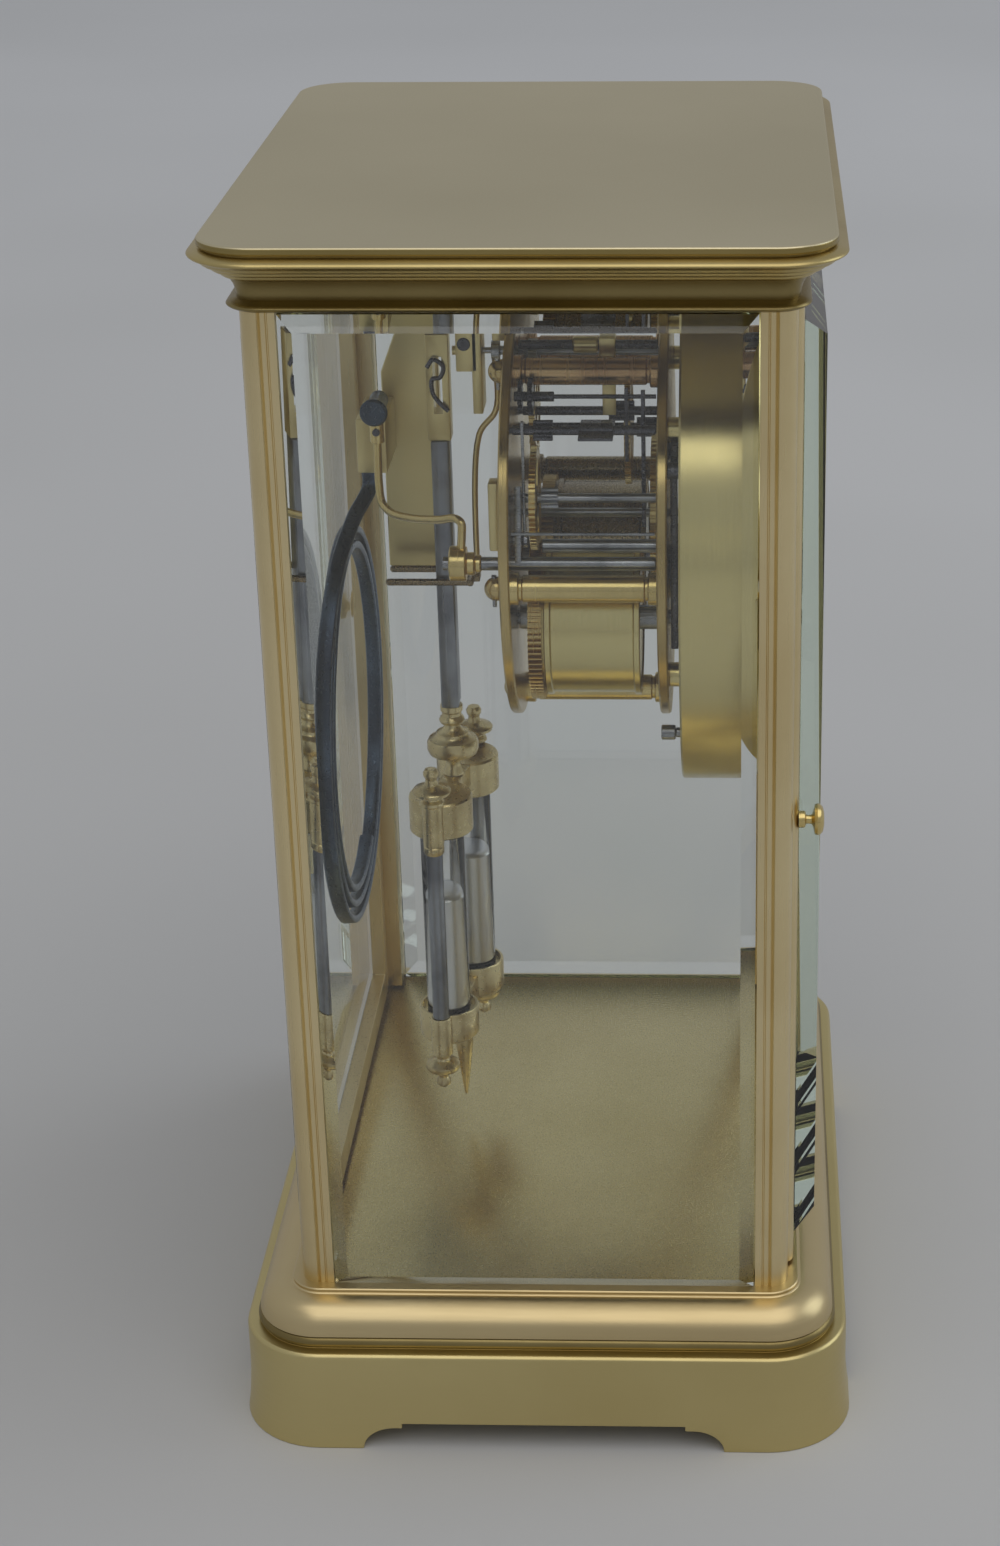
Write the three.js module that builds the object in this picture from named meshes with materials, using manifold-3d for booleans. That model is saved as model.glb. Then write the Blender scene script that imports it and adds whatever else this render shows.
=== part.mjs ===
// Four glass mantel clock: a brass case with bevelled panes and two glazed doors, a round
// striking movement behind a drum dial, a coil gong and a pendulum with two mercury vials.
// Millimetres, +Z up, dial towards -Y, origin under the middle of the plinth.

import * as THREE from 'three';
import { mergeVertices } from 'three/addons/utils/BufferGeometryUtils.js';
import Module from 'manifold-3d';

const wasm = await Module();
wasm.setup();

// Fits
const runningGap = 0.3; // round anything that turns, and between panes and posts
const fitGap = 0.2; // round pins and tubes that are assembled and stay
const overrun = 1; // how far a cut runs past the metal
const weld = 0.0001; // corners closer than this are one corner

// Roundness
const cornerSteps = 5;
const arcSteps = 3;
const fineSides = 10;
const roundSides = 16;
const drumSides = 24;
const wideSides = 40;

// Heights of the case, from the standing plane up
const height = 240;
const topPlateThickness = 1.9;
const corniceHeight = 10.9;
const corniceTop = height - topPlateThickness;
const corniceLow = corniceTop - corniceHeight;
const plinthTop = 21.2;
const filletHeight = 2.5;
const ovoloHeight = 5.8;
const lipHeight = 0.9;
const filletTop = plinthTop + filletHeight;
const ovoloTop = filletTop + ovoloHeight;
const baseTop = ovoloTop + lipHeight;
const floorDrop = 0.4;
const floorThickness = 2;
const floorTop = baseTop - floorDrop;
const floorLow = floorTop - floorThickness;

// Case core: the outer faces of the posts, from which the mouldings stand out
const coreHalfX = 67;
const coreHalfY = 48;
const coreCorner = 3.7;

// Plinth
const plinthFootOut = 13;
const plinthOut = 12;
const plinthFlare = 12;
const plinthEdge = 0.4;
const plinthIn = 5;
const plinthFlareShares = [[1, 0], [0.6, 0.25], [0.2, 0.6], [0, 1]];
const archEnd = 24.3;
const archCurve = 6.2;
const archLow = 4.4;
const archStep = 1.5;
const archHigh = 5.4;

// Base moulding and floor
const filletOut = 9.2;
const ovoloIn = 2.8;
const lipOut = 2.4;
const baseIn = -3.2;
const floorOut = -1.7;
const floorFill = -2.2;
const ovoloShares = [[0, 0], [0.03, 0.3], [0.1, 0.48], [0.24, 0.66], [0.46, 0.83], [0.72, 0.94], [1, 1]];

// Cornice and top plate
const corniceIn = -3.2;
const soffitOut = 0.5;
const astragalOut = 2.5;
const astragalHeight = 2.1;
const astragalTop = corniceLow + astragalHeight;
const coveOut = 2;
const coveHeight = 3.8;
const coveTop = astragalTop + coveHeight;
const reedOut = 7;
const torusHeight = 1.9;
const reedTop = corniceTop - torusHeight;
const torusOut = 8.7;
const topPlateOut = 7;
const topPlateEdge = 0.5;
const roundShares = [[0, 0], [0.5, 0.13], [0.87, 0.3], [1, 0.5], [0.87, 0.7], [0.5, 0.87], [0, 1]];
const coveShares = [[0, 0], [0.18, 0.36], [0.45, 0.72], [1, 1]];
const reedShares = [[0, 0], [0.3, 0.28], [0.68, 0.66], [1, 1]];

// Posts
const postWidthX = 7.1;
const postInX = coreHalfX - postWidthX;
const postOutX = coreHalfX;
const postWidthY = 6.5;
const postProud = 0.2;
const postInY = coreHalfY + postProud - postWidthY;
const postOutY = coreHalfY + postProud;
const postRound = 3.6;
const grooveWidth = 0.35;
const grooveDepth = 0.35;

// Side panes
const paneRebate = 2.4;
const sidePaneIn = coreHalfX - paneRebate;
const sidePaneRim = coreHalfX;
const sidePaneProud = 2.1;
const sidePaneOut = coreHalfX + sidePaneProud;
const sidePaneBevel = 2.8;
const paneHeadroom = 0.4;
const sidePaneTop = corniceLow - paneHeadroom;

// Doors
const doorGap = 0.6;
const doorLow = baseTop + doorGap;
const doorTop = corniceLow - paneHeadroom;
const doorProud = 1.4;
const doorThickness = 4.8;
const doorFront = coreHalfY + doorProud;
const doorBack = doorFront - doorThickness;
const hingeX = postInX - runningGap - doorThickness / 2;
const stileWidth = 4.8;
const railHeight = 4;
const paneSeat = 2;
const doorPaneSeat = 3;
const doorPaneBack = doorBack + doorPaneSeat;
const doorPaneEdge = 2;
const doorPaneSlope = 4;
const rearPaneEdge = 1.4;
const rearPaneSlope = 1.6;
const doorPaneBevel = 3.6;
const hingePinRadius = 0.8;
const hingeCollarRadius = 1.5;
const hingePinLength = 3.1;
const hingeCollarShare = 0.5;
const knobRise = 96.5;
const knobZ = doorLow + knobRise;
const knobCollarRadius = 1.6;
const knobCollarLength = 1.3;
const knobNeckRadius = 0.8;
const knobNeckLength = 1.5;
const knobHeadRadius = 3;
const knobHeadLength = 2;
const knobEdge = 0.5;

// Movement plates and pillars
const movementDrop = 58.2;
const movementZ = corniceLow - movementDrop;
const plateRadius = 40;
const frontPlateFront = -24.6;
const frontPlateBack = -22.6;
const rearPlateFront = 4.9;
const rearPlateBack = 6.9;
const pillarRadius = 2.6;
const pillarRing = 3.1;
const pillarRingLength = 1.6;
const pillarStub = 1.5;
const pillarStubLength = 2.4;
const sidePillarX = 36.6;
const sidePillarDrop = 2.7;
const sidePillarZ = movementZ - sidePillarDrop;
const topPillarX = 25.5;
const topPillarRise = 26.5;
const leadPillarX = 14;
const leadPillarRise = 33;
const leadPillarZ = movementZ + leadPillarRise;
const topPillarZ = movementZ + topPillarRise;
const bottomPillarDrop = 37.5;
const bottomPillarZ = movementZ - bottomPillarDrop;

// Arbors
const arborRadius = 0.9;
const pivotRadius = 0.6;
const pivotDepth = 1.3;

// Barrels
const barrelX = 19;
const barrelDrop = 15;
const barrelZ = movementZ - barrelDrop;
const barrelRadius = 14.6;
const barrelFront = -19.2;
const barrelBack = -0.8;
const barrelRim = 15.1;
const barrelRimWidth = 1.2;
const greatRadius = 16;
const greatFront = -0.4;
const greatBack = 2.2;
const greatTeeth = 48;
const barrelArborRadius = 2.4;
const barrelPivotRadius = 1.5;
const windingSquare = 2.2;
const windingFront = -38;

// Wheels
const toothDepth = 0.9;
const wheelRim = 1.5;
const wheelHub = 2.6;
const spokeWidth = 1.3;
const spokes = 4;
const centreRadius = 16;
const centreTeeth = 40;
const centreFront = -21.9;
const centreBack = -20.7;
const thirdX = 12;
const thirdRise = 14;
const thirdZ = movementZ + thirdRise;
const thirdRadius = 11.4;
const thirdTeeth = 36;
const thirdFront = -16.4;
const thirdBack = -15.2;
const thirdPinion = 2;
const thirdPinionBack = -17.2;
const escapeRise = 21;
const escapeZ = movementZ + escapeRise;
const escapeRadius = 9;
const escapeTeeth = 30;
const escapeFront = 1.6;
const escapeBack = 2.8;
const escapePinion = 2.1;
const escapePinionFront = -17.4;
const escapePinionBack = -12.4;
const strikeX = -24;
const strikeRise = 11;
const strikeZ = movementZ + strikeRise;
const strikeRadius = 10;
const strikeTeeth = 30;
const strikeFront = 0.2;
const strikeBack = 1.4;
const flyX = -26;
const flyRise = 25;
const flyZ = movementZ + flyRise;
const flyReach = 6;
const flyThickness = 0.8;
const flyFront = -14.5;
const flyBack = -8;

// Dial, its drum and the hands
const drumRadius = 52.8;
const drumBack = -27;
const drumBackThickness = 1.4;
const drumWall = 1.6;
const bezelWidth = 6.3;
const bezelRadius = drumRadius - bezelWidth;
const bezelBack = -39.8;
const bezelFront = -42.2;
const bezelSlope = 1.8;
const dialBack = -38.4;
const dialThickness = 1.2;
const dialLedge = 2;
const dialLedgeThickness = 1.4;
const dialBore = 2.6;
const windingHole = 2.6;
const drumBore = 4;
const drumBossRadius = 2.4;
const bossInset = 5;
const drumBossRing = plateRadius - bossInset;
const lugHalfHeight = 5;
const lugShort = 3;
const lugOut = coreHalfX - lugShort;
const lugRoot = 3.8;
const lugIn = drumRadius - lugRoot;
const lugFront = -postInY;
const lugThickness = 1.8;
const handThickness = 0.6;
const hourLength = 25;
const hourWidth = 1.5;
const hourBoss = 3.4;
const hourPipe = 2;
const hourPipeBack = -35;
const hourFront = -40.9;
const hourAngle = -55;
const minuteLength = 38;
const minuteWidth = 1.2;
const minuteBoss = 2.4;
const minuteFront = -42.1;
const minuteAngle = 60;
const handArbor = 0.9;
const handStub = 0.5;
const handStubFront = -43;
const handTipShare = 0.35;

// Anchor and crutch
const anchorRise = 33.2;
const anchorZ = movementZ + anchorRise;
const anchorFront = 1.4;
const anchorBack = 3;
const anchorHub = 2.4;
const anchorArmX = 9;
const anchorArmDrop = 2.8;
const anchorArmZ = anchorZ - anchorArmDrop;
const anchorNibX = 7.8;
const anchorNibDrop = 5.2;
const anchorNibZ = anchorZ - anchorNibDrop;
const anchorArmWidth = 1.8;
const crutchCollar = 1.8;
const crutchCollarBack = 3.9;
const crutchBore = 3;
const crutchArborBack = 13.3;
const crutchWire = 0.6;
const crutchSteps = 18;
const crutchHubRadius = 1.9;
const crutchHubFront = 8.7;
const crutchHubBack = 10.3;
const crutchBend = 13.3;
const crutchBendDrop = 17.1;
const crutchBendZ = anchorZ - crutchBendDrop;
const crutchDrop = 11.9;
const crutchDropZ = anchorZ - crutchDrop;
const crutchDropY = 9.8;
const crutchEndY = 14.6;
const forkDrop = 46.6;
const forkZ = anchorZ - forkDrop;
const forkHalf = 3.9;
const forkRadius = 0.7;
const forkFront = 16.6;
const forkBack = 32.7;
const forkBar = 1.8;

// Back cock
const cockFootHalf = 9;
const cockFootRise = 4.3;
const cockFootLow = anchorZ + cockFootRise;
const cockFootHeight = 12.5;
const cockFootTop = cockFootLow + cockFootHeight;
const cockFootBack = 9.4;
const cockArmHalf = 5;
const cockArmRise = 7.8;
const cockArmLow = anchorZ + cockArmRise;
const cockArmHeight = 8;
const cockArmTop = cockArmLow + cockArmHeight;
const cockArmBack = 25.4;
const cockPlateDrop = 11.7;
const cockPlateLow = anchorZ - cockPlateDrop;
const cockPlateFront = 12;
const cockPlateBack = 13.9;
const cockPlateHalf = 4;
const cockBlockDrop = 3.2;
const cockBlockLow = anchorZ - cockBlockDrop;
const cockBlockBack = 17;
const cockSlotFront = 18.8;
const cockSlotBack = 23;
const cockSlotRoof = 1.7;
const cockSlotTop = cockArmTop - cockSlotRoof;

// Pendulum, hung from the middle of its suspension
const pendulumY = 20.9;
const pivotRise = 4;
const pivotZ = cockArmLow + pivotRise;
const suspensionHead = 1.6;
const suspensionPin = 0.6;
const suspensionPinLength = 7;
const springThickness = 0.5;
const springWidth = 3.5;
const springLength = 8;
const clipTop = pivotZ - springLength;
const clipHalfX = 2.3;
const clipHalfY = 2.25;
const clipLength = 21.5;
const rodTop = clipTop - clipLength;
const clipSlotRise = 5.5;
const clipSlotLow = rodTop + clipSlotRise;
const clipSlotLength = 11.5;
const clipSlotTop = clipSlotLow + clipSlotLength;
const clipSlotHalf = 0.9;
const rodHalfX = 2.8;
const rodHalfY = 1.8;
const pointerClear = 5.9;
const pointerTip = floorTop + pointerClear;
const pointerTaper = 13.1;
const pointerNeck = 5.3;
const pointerNeckZ = pointerTip + pointerTaper;
const pointerTop = pointerNeckZ + pointerNeck;
const bottomBossHeight = 9.5;
const bottomBarHeight = 6.8;
const bottomFinialLength = 7;
const bottomBossLow = pointerTop;
const bottomBarTop = bottomBossLow + bottomBossHeight;
const bottomBarLow = bottomBarTop - bottomBarHeight;
const bottomFinialLow = bottomBossLow - bottomFinialLength;
const bottomNeckLength = 0.7;
const bottomDiscTop = bottomBossLow - bottomNeckLength;
const barGap = 43.5;
const cupDepth = 1.2;
const vialBase = 1.2;
const fillHeight = 26.2;
const vialTop = bottomBarTop + barGap;
const vialSeat = bottomBarTop - cupDepth;
const vialFloor = vialSeat + vialBase;
const fillTop = vialFloor + fillHeight;
const topBarLow = vialTop;
const bobRodCollarLength = 5.7;
const bobRodCollarLow = topBarLow - bobRodCollarLength;
const topBarHeight = 5;
const topCupDrop = 2.9;
const topCupLow = topBarLow - topCupDrop;
const finialDiscRise = 2.2;
const finialDiscHeight = 1.9;
const finialButtonHeight = 4.1;
const nutConeHeight = 4.3;
const nutDiscHeight = 4.3;
const nutWaistHeight = 2.7;
const nutRingHeight = 1.6;
const nutCollarHeight = 2.5;
const nutLow = topBarLow + topBarHeight;
const finialDiscLow = nutLow + finialDiscRise;
const finialDiscTop = finialDiscLow + finialDiscHeight;
const finialTop = finialDiscTop + finialButtonHeight;
const bottomDiscLow = bottomDiscTop - finialDiscHeight;
const nutDiscLow = nutLow + nutConeHeight;
const nutDiscTop = nutDiscLow + nutDiscHeight;
const nutRingLow = nutDiscTop + nutWaistHeight;
const nutCollarLow = nutRingLow + nutRingHeight;
const nutTop = nutCollarLow + nutCollarHeight;
const nutCollarRadius = 2.3;
const nutRingRadius = 2.6;
const nutDiscRadius = 5.3;
const nutWaistRadius = 1.5;
const nutEndRadius = 2.2;

// Bob: two mercury vials in round cups on two bars, a rod outside each, turned a little
const bobTwist = -10;
const bobRodX = 16.8;
const bobRodRadius = 1.7;
const bobRodCollar = 2.1;
const barHalfY = 2.2;
const topCupRadius = 6.5;
const bottomCupRadius = 6.2;
const bottomCupBore = 5.5;
const finialDisc = 3.9;
const finialButton = 1.5;
const bottomDisc = 3.6;
const bottomNeck = 1.4;
const pointerRadius = 1.9;
const pointerTipRadius = 0.3;
const vialX = 10.6;
const vialRadius = 4.4;
const vialBore = 3.9;

// Hammer
const hammerX = -33;
const hammerRise = 1;
const hammerZ = movementZ + hammerRise;
const hammerArborRadius = 1.3;
const hammerHubRadius = 3.4;
const hammerHubFront = 13.4;
const hammerHubBack = 16.6;
const hammerArborBack = 18;
const hammerNutRadius = 2.2;
const hammerNutFront = 10.6;
const tailX = -29;
const tailRise = 14;
const tailZ = hammerZ + tailRise;
const tailHalf = 1.3;
const tailFront = 3;
const tailBack = 4.2;
const stemRadius = 0.8;
const stemRoute = {
  rootX: -32.6, rootY: 15, rootZ: 3,
  riseX: -31.6, riseY: 15.2, riseZ: 6.2,
  turnX: -29, turnY: 18.4, turnZ: 7.2,
  runX: -21, runY: 27, runZ: 6,
  bendX: -15.6, bendY: 31.2, bendZ: 7.6,
  topX: -13, topY: 31.8, topZ: 15.6,
};
const stemSteps = 22;
const stemSides = 6;
const headRise = 24.6;
const headZ = hammerZ + headRise;
const headY = 31.8;
const headBack = -17.2;
const headNeck = -12.4;
const headFront = -7.3;
const headRadius = 1.8;
const headFlare = 2.7;
const headStemRise = 17.6;
const headStemLow = hammerZ + headStemRise;
const headStemRadius = 1.4;

// Gong
const gongY = 41.5;
const gongDrop = 45;
const gongZ = movementZ - gongDrop;
const gongRadius = 41.6;
const gongPitch = 3.2;
const gongStart = 180;
const gongEnd = 1010;
const gongHalfWire = 0.8;
const gongHalfBand = 1.5;
const gongEdge = 0.25;
const gongStepsPerTurn = 24;
const gongLeadSteps = 14;
const gongLeadPoints = 6;
const gongLead = {
  firstX: -40.3, firstY: 41.4, firstZ: 14,
  secondX: -35, secondY: 41, secondZ: 28.4,
  thirdX: -25, thirdY: 39.7, thirdZ: 40.4,
  fourthX: -12, fourthY: 37.4, fourthZ: 47.6,
  endX: -3.4, endY: 35, endZ: 51.6,
};
const blockLeft = -6;
const blockRight = 10;
const blockFront = 31;
const blockBack = 36.9;
const blockRise = 55;
const blockHeight = 11;
const blockLow = gongZ + blockRise;
const blockTop = blockLow + blockHeight;
const bracketRight = 13;
const bracketFront = 22;
const bracketBack = 33.5;
const bracketLowRise = 30;
const bracketLow = gongZ + bracketLowRise;
const bracketShoulderRise = 71;
const bracketShoulder = gongZ + bracketShoulderRise;
const bracketNeck = 27;
const bracketNeckRise = 88;
const bracketNeckZ = gongZ + bracketNeckRise;

// Materials
function metal(color, roughness) {
  return new THREE.MeshStandardMaterial({ color, roughness, metalness: 1 });
}

const caseBrass = metal('#b5924f', 0.32);
caseBrass.name = 'case_brass';
const movementBrass = metal('#c9a55a', 0.28);
movementBrass.name = 'movement_brass';
const steel = metal('#8d9094', 0.3);
steel.name = 'steel';
const bluedSteel = metal('#222a3a', 0.35);
bluedSteel.name = 'blued_steel';
const quicksilver = metal('#c8ccd0', 0.06);
quicksilver.name = 'mercury';
const plateGlass = new THREE.MeshStandardMaterial({ color: '#dfeae4', roughness: 0.03, metalness: 0 });
plateGlass.name = 'plate_glass';
plateGlass.transparent = true;
plateGlass.opacity = 0.25;
const vialGlass = plateGlass.clone();
vialGlass.name = 'vial_glass';
const enamel = new THREE.MeshStandardMaterial({ color: '#f2efe6', roughness: 0.2, metalness: 0 });
enamel.name = 'enamel';

// Solids from three.js shapes
function solidOf(geometry) {
  const plain = geometry.index ? geometry.toNonIndexed() : geometry.clone();
  plain.deleteAttribute('normal');
  plain.deleteAttribute('uv');
  const merged = mergeVertices(plain, weld);
  const corners = merged.attributes.position.array;
  const source = merged.index.array;
  const faces = [];
  let volume = 0;
  const a = new THREE.Vector3();
  const b = new THREE.Vector3();
  const c = new THREE.Vector3();
  for (let i = 0; i < source.length; i += 3) {
    const [p, q, r] = [source[i], source[i + 1], source[i + 2]];
    if (p === q || q === r || r === p) continue;
    faces.push(p, q, r);
    a.fromArray(corners, 3 * p);
    b.fromArray(corners, 3 * q);
    c.fromArray(corners, 3 * r);
    volume += a.dot(b.cross(c));
  }
  if (volume < 0) faces.reverse();
  const vertProperties = new Float32Array(corners);
  const triVerts = new Uint32Array(faces);
  return new wasm.Manifold(new wasm.Mesh({ numProp: 3, vertProperties, triVerts }));
}

function box(xLow, xHigh, yLow, yHigh, zLow, zHigh) {
  const geometry = new THREE.BoxGeometry(xHigh - xLow, yHigh - yLow, zHigh - zLow);
  geometry.translate((xLow + xHigh) / 2, (yLow + yHigh) / 2, (zLow + zHigh) / 2);
  return solidOf(geometry);
}

function shapeOf(points) {
  return new THREE.Shape(points.map(([u, v]) => new THREE.Vector2(u, v)));
}

function slabX(shape, low, high) {
  const geometry = new THREE.ExtrudeGeometry(shape, { depth: high - low, bevelEnabled: false });
  geometry.rotateX(Math.PI / 2);
  geometry.rotateZ(Math.PI / 2);
  geometry.translate(low, 0, 0);
  return solidOf(geometry);
}

function slabY(shape, low, high) {
  const geometry = new THREE.ExtrudeGeometry(shape, { depth: high - low, bevelEnabled: false });
  geometry.rotateX(Math.PI / 2);
  geometry.translate(0, high, 0);
  return solidOf(geometry);
}

function slabZ(shape, low, high) {
  const geometry = new THREE.ExtrudeGeometry(shape, { depth: high - low, bevelEnabled: false });
  geometry.translate(0, 0, low);
  return solidOf(geometry);
}

// A turned piece: the profile lists radius and place along the axis, from axis to axis
function turned(axis, x, y, z, profile, sides) {
  const points = profile.map(([radius, along]) => new THREE.Vector2(radius, along));
  const geometry = new THREE.LatheGeometry(points, sides);
  if (axis === 'z') geometry.rotateX(Math.PI / 2);
  if (axis === 'x') geometry.rotateZ(-Math.PI / 2);
  geometry.translate(x, y, z);
  return solidOf(geometry);
}

// A turned piece of plain lengths, each a radius with where it starts and ends
function spindle(axis, x, y, z, lengths, sides = fineSides) {
  const profile = [[0, lengths[0][1]]];
  for (const [radius, start, end] of lengths) profile.push([radius, start], [radius, end]);
  profile.push([0, lengths[lengths.length - 1][2]]);
  return turned(axis, x, y, z, profile, sides);
}

function pin(axis, x, y, z, radius, start, end, sides = fineSides) {
  return spindle(axis, x, y, z, [[radius, start, end]], sides);
}

// A moulding that runs round the case core: the profile lists how far out and how high
function moulding(profile) {
  const columns = cornerSteps + 1;
  const ring = [...profile, profile[0]];
  const points = ring.map(([out, up]) => new THREE.Vector2(coreCorner + out, up));
  const geometry = new THREE.LatheGeometry(points, 4 * columns);
  const place = geometry.attributes.position;
  const turns = [[1, 1], [-1, 1], [-1, -1], [1, -1]];
  for (let i = 0; i < place.count; i += 1) {
    const column = Math.floor(i / ring.length) % (4 * columns);
    const { x: radius, y: up } = points[i % ring.length];
    const quarter = Math.floor(column / columns);
    const angle = (quarter + (column % columns) / cornerSteps) * (Math.PI / 2);
    const [signX, signY] = turns[quarter];
    const x = signX * (coreHalfX - coreCorner) + radius * Math.cos(angle);
    const y = signY * (coreHalfY - coreCorner) + radius * Math.sin(angle);
    place.setXYZ(i, x, y, up);
  }
  return solidOf(geometry);
}

function filledMoulding(profile, fillOut, low, high) {
  const halfX = coreHalfX + fillOut;
  const halfY = coreHalfY + fillOut;
  return moulding(profile).add(box(-halfX, halfX, -halfY, halfY, low, high));
}

// Points of a curve given as shares of a step out and a step up
function curve(shares, outStart, outEnd, upStart, upEnd) {
  return shares.map(([out, up]) => [outStart + out * (outEnd - outStart), upStart + up * (upEnd - upStart)]);
}

// A tube of any section along a smooth path
function tube(points, section, steps) {
  const path = new THREE.CatmullRomCurve3(points, false, 'centripetal');
  const geometry = new THREE.ExtrudeGeometry(section, { steps, bevelEnabled: false, extrudePath: path });
  return solidOf(geometry);
}

function roundSection(radius, sides) {
  const points = [];
  for (let i = 0; i < sides; i += 1) {
    const angle = (2 * Math.PI * i) / sides;
    points.push([radius * Math.cos(angle), radius * Math.sin(angle)]);
  }
  return shapeOf(points);
}

// Groups and pieces
const clock = new THREE.Group();
clock.name = 'four_glass_clock';
const frontDoor = new THREE.Group();
const rearDoor = new THREE.Group();
rearDoor.rotation.z = Math.PI;
const pendulum = new THREE.Group();
pendulum.position.y = pendulumY;
const bob = new THREE.Group();
bob.rotation.z = THREE.MathUtils.degToRad(bobTwist);
pendulum.add(bob);
clock.add(frontDoor, rearDoor, pendulum);

function add(name, solid, material, parent = clock) {
  const { vertProperties, triVerts } = solid.getMesh();
  const geometry = new THREE.BufferGeometry();
  geometry.setAttribute('position', new THREE.BufferAttribute(vertProperties, 3));
  geometry.setIndex(new THREE.BufferAttribute(triVerts, 1));
  geometry.computeVertexNormals();
  const piece = new THREE.Mesh(geometry, material);
  piece.name = name;
  parent.add(piece);
}

// Plinth: an open frame on four bracket feet
function archOutline(half) {
  const end = half - archEnd;
  const right = [];
  for (let i = 0; i <= cornerSteps; i += 1) {
    const angle = (Math.PI / 2) * (i / cornerSteps);
    right.push([end - archCurve + archCurve * Math.cos(angle), archLow * Math.sin(angle)]);
  }
  right.push([end - archCurve - archStep, archLow], [end - archCurve - archStep, archHigh]);
  const left = right.map(([u, v]) => [-u, v]).reverse();
  return shapeOf([[end, -overrun], ...right, ...left, [-end, -overrun]]);
}

function plinth() {
  const flare = curve(plinthFlareShares, plinthOut, plinthFootOut, 0, plinthFlare);
  const edge = [[plinthOut, plinthTop - plinthEdge], [plinthOut - plinthEdge, plinthTop]];
  const ring = moulding([...flare, ...edge, [plinthIn, plinthTop], [plinthIn, 0]]);
  const halfX = coreHalfX + plinthOut;
  const halfY = coreHalfY + plinthOut;
  const pastX = coreHalfX + plinthFootOut + overrun;
  const pastY = coreHalfY + plinthFootOut + overrun;
  const alongY = slabY(archOutline(halfX), -pastY, pastY);
  const alongX = slabX(archOutline(halfY), -pastX, pastX);
  return ring.subtract(alongY).subtract(alongX);
}
add('plinth', plinth(), caseBrass);

// Base moulding with a seat for the floor plate
const ovolo = curve(ovoloShares, filletOut, ovoloIn, filletTop, ovoloTop);
const lip = [[lipOut, ovoloTop], [lipOut, baseTop]];
const floorSeat = [
  [floorOut + fitGap, baseTop], [floorOut + fitGap, floorLow], [baseIn, floorLow], [baseIn, plinthTop],
];
add('base_moulding', moulding([[filletOut, plinthTop], ...ovolo, ...lip, ...floorSeat]), caseBrass);

const floorRing = [[floorOut, floorLow], [floorOut, floorTop], [baseIn, floorTop], [baseIn, floorLow]];
add('floor_plate', filledMoulding(floorRing, floorFill, floorLow, floorTop), caseBrass);

// Cornice and top plate
function cornice() {
  const astragal = curve(roundShares, soffitOut, astragalOut, corniceLow, astragalTop);
  const cove = curve(coveShares, soffitOut, coveOut, astragalTop, coveTop);
  const reeded = curve(reedShares, coveOut, reedOut, coveTop, reedTop);
  const torus = curve(roundShares, reedOut, torusOut, reedTop, corniceTop);
  const outer = [...astragal, ...cove.slice(1), ...reeded.slice(1), ...torus.slice(1)];
  return moulding([...outer, [corniceIn, corniceTop], [corniceIn, corniceLow]]);
}
add('cornice', cornice(), caseBrass);

const topEdge = [
  [topPlateOut - topPlateEdge, corniceTop],
  [topPlateOut, corniceTop + topPlateEdge],
  [topPlateOut, height - topPlateEdge],
  [topPlateOut - topPlateEdge, height],
];
const topRing = [...topEdge, [corniceIn, height], [corniceIn, corniceTop]];
add('top_plate', filledMoulding(topRing, 0, corniceTop, height), caseBrass);

// Posts with a rounded corner between two fine grooves
function postOutline(signX, signY) {
  const arcX = postOutX - postRound;
  const arcY = postOutY - postRound;
  const lead = Math.asin(grooveWidth / postRound);
  const points = [[postInX, postInY], [postOutX, postInY]];
  points.push([postOutX, arcY - grooveWidth], [postOutX - grooveDepth, arcY]);
  for (let i = 0; i <= cornerSteps; i += 1) {
    const angle = lead + (Math.PI / 2 - 2 * lead) * (i / cornerSteps);
    points.push([arcX + postRound * Math.cos(angle), arcY + postRound * Math.sin(angle)]);
  }
  points.push([arcX, postOutY - grooveDepth], [arcX - grooveWidth, postOutY], [postInX, postOutY]);
  return shapeOf(points.map(([u, v]) => [signX * u, signY * v]));
}

for (const [name, signX, signY] of [
  ['post_front_left', -1, -1],
  ['post_front_right', 1, -1],
  ['post_rear_left', -1, 1],
  ['post_rear_right', 1, 1],
]) {
  add(name, slabZ(postOutline(signX, signY), baseTop, corniceLow), caseBrass);
}

// Bevelled panes: a plain edge, then a wide slope up to the face
function bevelledPane(halfWidth, low, top, back, rim, face, bevel, place) {
  const geometry = new THREE.BoxGeometry(1, 1, 1, 1, 1, 2);
  const position = geometry.attributes.position;
  for (let i = 0; i < position.count; i += 1) {
    const level = Math.sign(Math.round(2 * position.getZ(i)));
    const inset = level > 0 ? bevel : 0;
    const depth = [back, rim, face][level + 1];
    const across = Math.sign(position.getX(i)) * (halfWidth - inset);
    const up = position.getY(i) > 0 ? top - inset : low + inset;
    position.setXYZ(i, ...place(depth, across, up));
  }
  return solidOf(geometry);
}

for (const [name, sign] of [['side_glass_left', -1], ['side_glass_right', 1]]) {
  const place = (depth, across, up) => [sign * depth, across, up];
  const half = postInY - runningGap;
  const size = [sidePaneIn, sidePaneRim, sidePaneOut, sidePaneBevel];
  add(name, bevelledPane(half, baseTop, sidePaneTop, ...size, place), plateGlass);
}

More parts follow.
